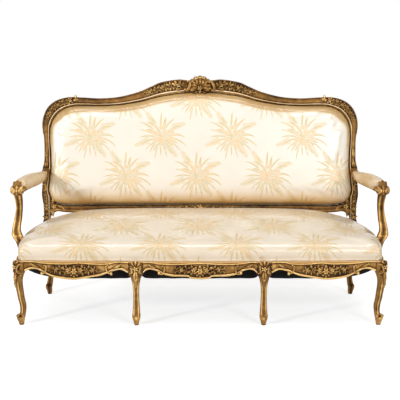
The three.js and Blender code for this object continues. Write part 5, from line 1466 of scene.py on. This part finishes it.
def seat_rings(m, profile, inset=0.004):
    """Rings of the outline sized about the ridge of the crown, each at a share of the crown's height. Behind the
    ridge no ring is wider than the outline."""
    half = seat_outline(m, inset)
    outline = np.vstack([half, half[-2:0:-1] * [-1, 1]])
    spine, middle = 0.63 * m.seat_half_width, (float(front_face(m, 0)) + m.cushion_back) / 2
    size, height = profile[:, :1], profile[:, 1:]
    ridge = np.clip(outline[:, 0], -spine, spine)
    x = ridge + (outline[:, 0] - ridge) * size
    y = middle + (outline[:, 1] - middle) * np.where(outline[:, 1] > middle, np.minimum(size, 1), size)
    return stack(x, y, m.cushion_base + height * seat_crown(m, x, y))


def changed(obj):
    """The object's mesh after its modifiers, as a new mesh. The modifiers are removed."""
    made = bpy.data.meshes.new_from_object(obj.evaluated_get(bpy.context.evaluated_depsgraph_get()))
    obj.modifiers.clear()
    return made


def remeshed(obj, voxel):
    """The object's mesh rebuilt from voxels, as a new mesh."""
    change = obj.modifiers.new("voxels", "REMESH")
    change.mode, change.voxel_size = "VOXEL", voxel
    return changed(obj)


def coordinates(mesh):
    co = np.empty(len(mesh.vertices) * 3, np.float32)
    mesh.vertices.foreach_get("co", co)
    return co.reshape(-1, 3).astype(float)


# Cloth simulation of the covers: frames, quality, stiffness against stretching and against bending.
FRAMES, QUALITY, STRETCHING, BENDING = 20, 5, 18, 0.8


def stuffed(obj, voxel, cap, held, pressure=4.0, smooth=4):
    """Swells a cover as cloth over its stuffing and gives back its points. The mesh is rebuilt from voxels and
    softened, then simulated with the points in held tacked down, and each point's move is capped."""
    old = obj.data
    mesh = remeshed(obj, voxel)
    obj.data = mesh
    bpy.data.meshes.remove(old)
    soften(mesh, smooth)
    start = coordinates(mesh)
    tacks = obj.vertex_groups.new(name="tacks")
    tacks.add(np.flatnonzero(held(start)).tolist(), 1.0, "REPLACE")
    cloth = obj.modifiers.new("cloth", "CLOTH")
    cloth.settings.vertex_group_mass = "tacks"
    cloth.settings.quality = QUALITY
    cloth.settings.tension_stiffness = cloth.settings.compression_stiffness = STRETCHING
    cloth.settings.bending_stiffness = BENDING
    cloth.settings.use_pressure = True
    cloth.settings.uniform_pressure_force = pressure
    cloth.settings.effector_weights.gravity = 0
    cloth.collision_settings.use_collision = False
    scene = bpy.context.scene
    for step in range(1, FRAMES + 1):
        scene.frame_set(step)
    moved = changed(obj)
    move = coordinates(moved) - start
    bpy.data.meshes.remove(moved)
    obj.vertex_groups.clear()
    scene.frame_set(1)
    size = np.linalg.norm(move, axis=1, keepdims=True)
    start = start + move * np.minimum(1, cap / np.maximum(size, 1e-9))
    mesh.vertices.foreach_set("co", start.astype(np.float32).ravel())
    mesh.polygons.foreach_set("use_smooth", np.ones(len(mesh.polygons), bool))
    return start


def soften(mesh, times):
    """Moves each point towards the mean of its neighbours along the edges, several times."""
    co = coordinates(mesh)
    edges = np.empty(len(mesh.edges) * 2, np.int32)
    mesh.edges.foreach_get("vertices", edges)
    a, b = edges.reshape(-1, 2).T
    degree = np.bincount(np.concatenate([a, b]), minlength=len(co))[:, None]
    for _ in range(times):
        total = np.zeros_like(co)
        for axis in range(3):
            total[:, axis] = np.bincount(a, co[b, axis], len(co)) + np.bincount(b, co[a, axis], len(co))
        co += 0.5 * (total / np.maximum(degree, 1) - co)
    mesh.vertices.foreach_set("co", co.astype(np.float32).ravel())
    mesh.update()


def woven(mesh, u, v, aged_and_shade):
    """Attributes that the damask reads: metres across and up the cloth, and how much the silk is tanned and
    darkened with painted shade.
    """
    co = np.stack([u, v, 0 * u], -1).astype(np.float32)
    mesh.attributes.new("weave", "FLOAT_VECTOR", "POINT").data.foreach_set("vector", co.ravel())
    mesh.attributes.new("aged_and_shade", "FLOAT", "POINT").data.foreach_set("value", aged_and_shade.astype(np.float32))


def normals(mesh):
    mesh.update()
    no = np.empty(len(mesh.vertices) * 3, np.float32)
    mesh.vertex_normals.foreach_get("vector", no)
    return no.reshape(-1, 3)


def doubled(obj):
    """One level of subdivision, kept live."""
    change = obj.modifiers.new("smooth", "SUBSURF")
    change.levels = change.render_levels = 1


class BuildSeatCover(bpy.types.Operator):
    """Sprung seat: the domed cover over its stuffing, hollow above the springs."""
    bl_idname = "canape.seat_cover"
    bl_label = "Seat cover"

    def execute(self, context):
        m = measures()
        profile = np.vstack([HOLLOW, spline(COVER, 40)])
        obj = piece("seat_cover", [shell(seat_rings(m, profile))], "damask", "seat_cushion")

        def held(co):
            """The foot of the cover and the hollow above the springs."""
            y = co[:, 1] - m.shift
            up = (co[:, 2] - m.cushion_base) / seat_crown(m, co[:, 0], y)
            size = np.maximum(np.abs(y - SEAT_MIDDLE) / SEAT_HALF_DEPTH,
                              (np.abs(co[:, 0]) - RIDGE_END) / SEAT_END)
            return (co[:, 2] < m.cushion_base + 0.012) | ((size < 0.9) & (up < 0.75))

        x, y, z = stuffed(obj, voxel=0.009, cap=0.006, held=held).T
        y = y - m.shift
        sideways = np.abs(normals(obj.data)[:, 0])
        drop = np.maximum(0, m.cushion_base + seat_crown(m, x, y) - z)
        side = smoothstep(np.abs(x), m.seat_half_width - 0.14, m.seat_half_width - 0.05)
        u = x + np.sign(x) * drop * side * sideways
        down = smoothstep(y, 0.4, 0.55) - 1 + smoothstep(y, 0.1, 0.25)
        v = y + drop * down * (1 - side * sideways)
        # Painted shade: low darkens the foot of the cover, apron the front below its roll, and flank the side
        # behind the arm support, where it goes past tan into grey-brown. The tan deepens towards the back.
        low = 1 - smoothstep(z, m.cushion_base, m.cushion_base + 0.035)
        behind = smoothstep(y, 0.08, 0.5)
        edge = side_face(m, np.clip(y, m.side_start, m.side_end))
        flank = smoothstep(y, 0.2, 0.235) * smoothstep(0.07 - edge + np.abs(x), 0, 0.014) * 1.2
        flank *= 1 - 0.6 * smoothstep(drop, 0.05, 0.1)
        apron = (1 - smoothstep(z, m.cushion_base + 0.02, m.cushion_base + 0.09)) * (1 - smoothstep(y, 0.05, 0.1))
        woven(obj.data, u + 0.19, v + 0.02, 0.25 + 0.18 * behind + 0.1 * low + 0.14 * apron + flank)
        doubled(obj)
        return {"FINISHED"}


def opening(m, inset, samples=420):
    """Inner edge of the back frame drawn in by inset, as a closed loop of (x, rise)."""
    crest = crest_lines(m, 300)[1]
    rise, _, inner = stile_line(m, 90)
    keep = (rise > STILE[10, 0] * m.back_rise) & (rise < m.joint_rise)
    stile = np.stack([inner[keep], rise[keep]], -1)
    lower = lower_lines(m, 120)[1][::-1]
    loop = np.vstack([crest, stile, lower, stile[::-1] * [-1, 1]])
    loop = even(np.vstack([loop, loop[:1]]), samples + 1)[:-1]
    way = np.roll(loop, -1, 0) - np.roll(loop, 1, 0)
    way /= np.linalg.norm(way, axis=1, keepdims=True)
    return loop + np.stack([way[:, 1], -way[:, 0]], -1) * inset


class BuildBackPad(bpy.types.Operator):
    """Stuffed back with a turned-in border."""
    bl_idname = "canape.back_pad"
    bl_label = "Back pad"

    def execute(self, context):
        m = measures()
        loop = opening(m, SOFT_GAP)
        profile = np.vstack([[1, -0.3], spline(PAD, 40), [0.02, 1]])
        rings = on_back(m, *about_ridge(loop, profile[:, :1]), -profile[:, 1:] * m.pad_depth)
        obj = piece("back_pad_cover", [shell(rings)], "damask", "back_pad")
        c, s = math.cos(m.back_rake), math.sin(m.back_rake)

        def laid_back(co):
            """Rise up the rake and depth behind the face of the back."""
            y, z = co[:, 1] - m.shift - m.seat_depth, co[:, 2] - m.hinge_height
            return y * s + z * c, y * c - z * s

        co = stuffed(obj, voxel=0.008, cap=0.005, held=lambda co: laid_back(co)[1] > -0.004)
        x, rise = co[:, 0], laid_back(co)[0]
        inwards = self.distance(np.stack([x, rise], -1), loop)
        # The border along the frame is tanned, widest at the top, and painted shade darkens it: the band past tan
        # at the top, the crease as a shadow line along the band's lower edge, the rim where the pad meets the
        # frame, and the foot towards the bottom under the lower roll.
        upper = smoothstep(rise, 0.25, 0.45)
        width = 0.015 + 0.021 * upper * smoothstep(loop[:, 0].max() - np.abs(x), 0.015, 0.07)
        band = (1 - smoothstep(inwards, width - 0.006, width + 0.004)) * (0.36 + 0.86 * upper)
        foot = (1 - smoothstep(rise, 0.05, 0.15)) * 0.95
        crease_shade = 0.35 * upper * hump(inwards, width, 0.005)
        rim = (1 - smoothstep(inwards, 0.0, 0.01)) * (0.55 - 0.35 * upper)
        woven(obj.data, x + 0.2, rise - 0.4, band + foot + crease_shade + rim)
        doubled(obj)
        return {"FINISHED"}

    def distance(self, places, loop):
        """Distance of each place to the nearest of the loop's segments, from the projection on each."""
        start, way = loop, np.roll(loop, -1, 0) - loop
        square = np.sum(way ** 2, -1)
        best = np.full(len(places), np.inf)
        for a, w, q in zip(start, way, square):
            t = np.clip((places - a) @ w / q, 0, 1)
            best = np.minimum(best, np.sum((places - a - t[:, None] * w) ** 2, -1))
        return np.sqrt(best)


class BuildArmPads(bpy.types.Operator):
    """Padded arm rests."""
    bl_idname = "canape.arm_pads"
    bl_label = "Arm pads"

    def execute(self, context):
        m = measures()
        arm = arm_line(m, 400)
        way, rise, wide = spline(ARM_PAD, 60).T[..., None]
        x, base = np.interp(way, arm.way, arm.x), np.interp(way, arm.way, arm.high) + GAP
        y = m.arm_tip_y + (m.arm_joint[1] - m.arm_tip_y) * way
        half = spline(ARM_PAD_SECTION, 20)
        across, up = np.vstack([half, half[-2::-1] * [-1, 1]]).T[:, None, :]
        skirt = 0.021 * smoothstep(way, 0.19, 0.26) * smoothstep(0.92 - way, 0, 0.14)
        up = np.where(up > 0, up * rise * m.arm_pad_height, up * skirt)
        rings = stack(x + across * wide * m.arm_pad_width / 2, y, base + up)

        def over(co):
            """Height above the arm's wood."""
            return co[:, 2] - np.interp(co[:, 1] - m.shift, arm.y, arm.high)

        for side, obj in zip(("right", "left"), pair("arm_pad_cover", [shell(rings)], "damask", "arm_pad")):
            co = stuffed(obj, voxel=0.004, cap=0.0025, held=lambda co: over(co) < -0.012, smooth=2)
            low = 1 - smoothstep(over(co), -0.018, 0.008)
            across = co[:, 0] * 1.2 + 0.06 * (side == "right")
            woven(obj.data, across, co[:, 1] - m.shift + over(co), 0.7 + 0.35 * low)
            doubled(obj)
        return {"FINISHED"}


class BuildGimp(bpy.types.Operator):
    """Braid along the foot of the seat cover."""
    bl_idname = "canape.gimp"
    bl_label = "Gimp"

    def execute(self, context):
        m = measures()
        y = np.linspace(m.side_start + 0.011, m.side_start + 0.92 * (m.side_end - m.side_start), 120)
        half = np.vstack(seat_line(m, BRAID_INSET, 60, y))
        ahead = half[half[:, 1] < m.support_foot_y - 0.023]
        behind = half[half[:, 1] > m.support_foot_y + 0.022]
        whole = np.vstack([ahead[:0:-1] * [-1, 1], ahead])
        for obj in (piece("seat_braid_front", [self.braid(m, whole)], "damask", "seat_gimp_front"),
                    *pair("seat_braid", [self.braid(m, behind)], "damask", "seat_gimp")):
            one = np.ones(len(obj.data.vertices))
            woven(obj.data, 0.155 * one, 0.2 * one, 0.8 * one)
        return {"FINISHED"}

    def braid(self, m, path):
        """Flat oval carried along a path, its height swelled by two crossing rows of twists."""
        run = distances(path)[-1]
        line = even(path, int(run / m.gimp_pitch * 6))
        d = np.linspace(0, run, len(line))[:, None]
        way = np.gradient(line, axis=0)
        way /= np.linalg.norm(way, axis=1, keepdims=True)
        ring = around(12)
        up = np.sin(ring)
        twist = 0.75 + 0.25 * np.cos(2 * np.pi * d / m.gimp_pitch + np.sign(up) * np.pi / 2) * np.abs(up) ** 0.5
        reach = np.cos(ring) * BRAID_HALF_DEPTH * twist
        z = m.cushion_base + BRAID_RISE + up * BRAID_HALF_HEIGHT
        return shell(stack(line[:, :1] + way[:, 1:] * reach, line[:, 1:] - way[:, :1] * reach, z))


class BuildCloths(bpy.types.Operator):
    """Outer back cloth and the black cloth under the seat."""
    bl_idname = "canape.cloths"
    bl_label = "Back and dust cloths"

    def execute(self, context):
        m = measures()
        self.back_cloth(m)
        self.dust_cloths(m)
        return {"FINISHED"}

    def back_cloth(self, m):
        """Sheet stretched over the opening from behind, a little hollow between its tacked edges."""
        loop = opening(m, BACK_CLOTH_INSET)
        size = np.linspace(1, 0.02, 24)[:, None]
        x, rise = about_ridge(loop, size)
        depth = m.frame_back - BACK_CLOTH_STEP - BACK_CLOTH_HOLLOW * (1 - size ** 4)
        both = np.concatenate([on_back(m, x, rise, depth)[::-1], on_back(m, x, rise, depth - CLOTH)])
        obj = piece("back_cloth", [shell(both)], "damask", "back_panel")
        co = coordinates(obj.data)
        up = (co[:, 2] - m.hinge_height) / math.cos(m.back_rake) - 0.42
        woven(obj.data, co[:, 0], up, np.full(len(co), 0.12))
        (x, rise), (next_x, next_rise) = loop.T, np.roll(loop, -1, 0).T
        float(0.5 * abs(np.sum(x * next_rise - rise * next_x)))

    def dust_cloths(self, m):
        """Sheets tacked under the rails that sag between them: the drop is (1 - |2w - 1|^p)^0.5 each way, and
        1 - w^7 towards a side rail."""
        v = np.sort(np.concatenate([[0.02, 0.035, 0.96, 0.975], np.linspace(0, 1, 40)]))[:, None]
        front, rear = m.rail_back + GAP, m.rear_rail_front - GAP
        y = front + (rear - front) * v
        along = side_middle(m, y) - m.side_rail_thickness / 2 - SOFT_GAP
        along = np.where(y < m.side_start + 0.002, m.inner_leg_x - SOFT_GAP, along)
        along = np.where(y > m.post_front - 0.004, m.post_inner_x - SOFT_GAP, along)
        along = np.minimum(along, CLOTH_REACH)
        brace = BRACE_HALF + GAP
        self.bay(m, "middle", brace - m.mid_x, m.mid_x - brace, y, v, 1)
        self.bay(m, "right", m.mid_x + brace, along, y, v, 1)
        self.bay(m, "left", m.mid_x + brace, along, y, v, -1)

    def bay(self, m, name, left, right, y, v, side):
        """Cloth from one brace or rail to the next: y runs back and v is its share of the way."""
        w = np.linspace(0, 1, 60)[None, :]
        x = left + (right - left) * w
        ripple = RIPPLE * np.sin(x * 70 + np.sin(y * 31)) * dome(2 * w - 1) * dome(2 * v - 1)
        across = dome(2 * w - 1, 30)
        if name != "middle":
            across = np.where(w < 0.5, across, 1 - w ** 7)
        z = m.rail_top - TACKED_DROP - SAG * across * dome(2 * v - 1, 14) + ripple
        top = stack(x * side, y, z)
        both = np.concatenate([top, (top - [0, 0, CLOTH])[:, ::-1]], 1)
        obj = piece(f"dust_cloth_{name}", [shell(both)], "black", f"dust_cover_{name}")
        wide = np.linalg.norm(np.diff(top, axis=1), axis=-1).sum(1).max()
        deep = np.linalg.norm(np.diff(top, axis=0), axis=-1).sum(0).max()


# Stage.

# Lamps: name, place, what it points at, width, height, watts.
LAMPS = (
    ("key", (-4.6, -4.5, 2.35), (0, 0, 0.6), 0.75, 0.75, 152),
    ("fill", (2.6, -4.9, 2.0), (0, 0, 0.6), 1.3, 1.3, 76),
    ("top", (0, -1.0, 3.4), (0, -0.1, 0.4), 3.8, 0.35, 45))
# Camera: its place, how many degrees it looks down, its lens and its film in millimetres.
CAMERA_PLACE, CAMERA_DOWN, LENS, FILM = (0, -5.7154, 1.48), 9.4, 106.4, 36
# Half the floor's side and how far the camera sees, in metres.
FLOOR_HALF, CAMERA_END = 40, 200
# White that the floor adds for the camera, and the surroundings as light and, added to that, as seen.
FLOOR_GLOW, SKY_LIGHT, SKY_SEEN = 0.68, 0.34, 0.66


class BuildStage(bpy.types.Operator):
    """Pale floor, soft lamps, white surroundings and the camera."""
    bl_idname = "canape.stage"
    bl_label = "Stage"

    def execute(self, context):
        scene = context.scene
        self.floor(scene)
        self.world(scene)
        for row in LAMPS:
            self.lamp(scene, *row)
        camera = bpy.data.cameras.new("camera")
        camera.lens, camera.sensor_width, camera.clip_end = LENS, FILM, CAMERA_END
        eye = bpy.data.objects.new("camera", camera)
        eye.location = CAMERA_PLACE
        eye.rotation_euler = (math.radians(90 - CAMERA_DOWN), 0, 0)
        scene.collection.objects.link(eye)
        scene.camera = eye
        scene.view_settings.view_transform = "Standard"
        return {"FINISHED"}

    def lamp(self, scene, name, place, aim, width, height, power):
        light = bpy.data.lights.new(name, "AREA")
        light.shape, light.size, light.size_y, light.energy = "RECTANGLE", width, height, power
        lamp = bpy.data.objects.new(name, light)
        lamp.location = place
        x, y, z = np.array(aim) - np.array(place)
        lamp.rotation_euler = (math.atan2(math.hypot(x, y), -z), 0, math.atan2(y, x) - math.pi / 2)
        scene.collection.objects.link(lamp)

    def seen_directly(self, tree):
        """1 for rays from the camera, off metal and through glass."""
        path = tree.nodes.new("ShaderNodeLightPath")
        seen = Field(tree, path.outputs["Is Camera Ray"]) + Field(tree, path.outputs["Is Glossy Ray"])
        return (seen + Field(tree, path.outputs["Is Transmission Ray"])).math("MINIMUM", 1.0)

    def floor(self, scene):
        """Matt floor that adds its own white for the camera, so that only the shadows darken it."""
        mesh = bpy.data.meshes.new("floor")
        corners = [(x * FLOOR_HALF, y * FLOOR_HALF, 0) for x, y in ((-1, -1), (1, -1), (1, 1), (-1, 1))]
        mesh.from_pydata(corners, [], [(0, 1, 2, 3)])
        floor = bpy.data.objects.new("floor", mesh)
        scene.collection.objects.link(floor)
        shade = scene.canape_colours.floor
        f = Finish("pale_floor")
        mesh.materials.append(f.done(f.shades(f.noise(30, 3), [(0.3, shade), (0.7, toned(shade, 0.97))]), 0.95))
        glow, total = f.new("ShaderNodeEmission"), f.new("ShaderNodeAddShader")
        glow.inputs["Color"].default_value = (1, 1, 1, 1)
        f.link(self.seen_directly(f.tree) * FLOOR_GLOW, glow.inputs["Strength"])
        out = next(n for n in f.tree.nodes if n.type == "OUTPUT_MATERIAL")
        f.link(f.shader.outputs[0], total.inputs[0])
        f.link(glow.outputs[0], total.inputs[1])
        f.link(total.outputs[0], out.inputs["Surface"])

    def world(self, scene):
        """White surroundings, brighter to the camera than as a light."""
        scene.world = bpy.data.worlds.new("surroundings")
        scene.world.use_nodes = True
        tree = scene.world.node_tree
        background = next(n for n in tree.nodes if n.type == "BACKGROUND")
        background.inputs["Color"].default_value = (1, 1, 1, 1)
        strength = self.seen_directly(tree) * SKY_SEEN + SKY_LIGHT
        tree.links.new(strength.socket, background.inputs["Strength"])


class CanapePanel(bpy.types.Panel):
    """Lists the sizes, the colours and the pieces."""
    bl_label = "Canape"
    bl_idname = "VIEW3D_PT_canape"
    bl_space_type = "VIEW_3D"
    bl_region_type = "UI"
    bl_category = "Canape"

    def draw(self, context):
        for group in (context.scene.canape_sizes, context.scene.canape_colours):
            box = self.layout.box()
            for name in type(group).__annotations__:
                box.prop(group, name)
        for operator in OPERATORS:
            self.layout.operator(operator.bl_idname)


OPERATORS = (
    MakeFinishes, BuildCrest, BuildLowerRail, BuildPosts, BuildFrontRails, BuildSideRails, BuildFrontLegs,
    BuildArms, BuildSupports, BuildSeatCover, BuildBackPad, BuildArmPads, BuildGimp, BuildCloths, BuildStage,
)


def register():
    for kind in (CanapeSizes, CanapeColours, *OPERATORS, CanapePanel):
        bpy.utils.register_class(kind)
    bpy.types.Scene.canape_sizes = bpy.props.PointerProperty(type=CanapeSizes)
    bpy.types.Scene.canape_colours = bpy.props.PointerProperty(type=CanapeColours)


def unregister():
    del bpy.types.Scene.canape_colours
    del bpy.types.Scene.canape_sizes
    for kind in reversed((CanapeSizes, CanapeColours, *OPERATORS, CanapePanel)):
        bpy.utils.unregister_class(kind)


def main():
    register()
    for operator in OPERATORS:
        group, name = operator.bl_idname.split(".")
        if getattr(getattr(bpy.ops, group), name)() != {"FINISHED"}:
            raise RuntimeError(f"{operator.bl_label} didn't finish")


if __name__ == "__main__":
    main()
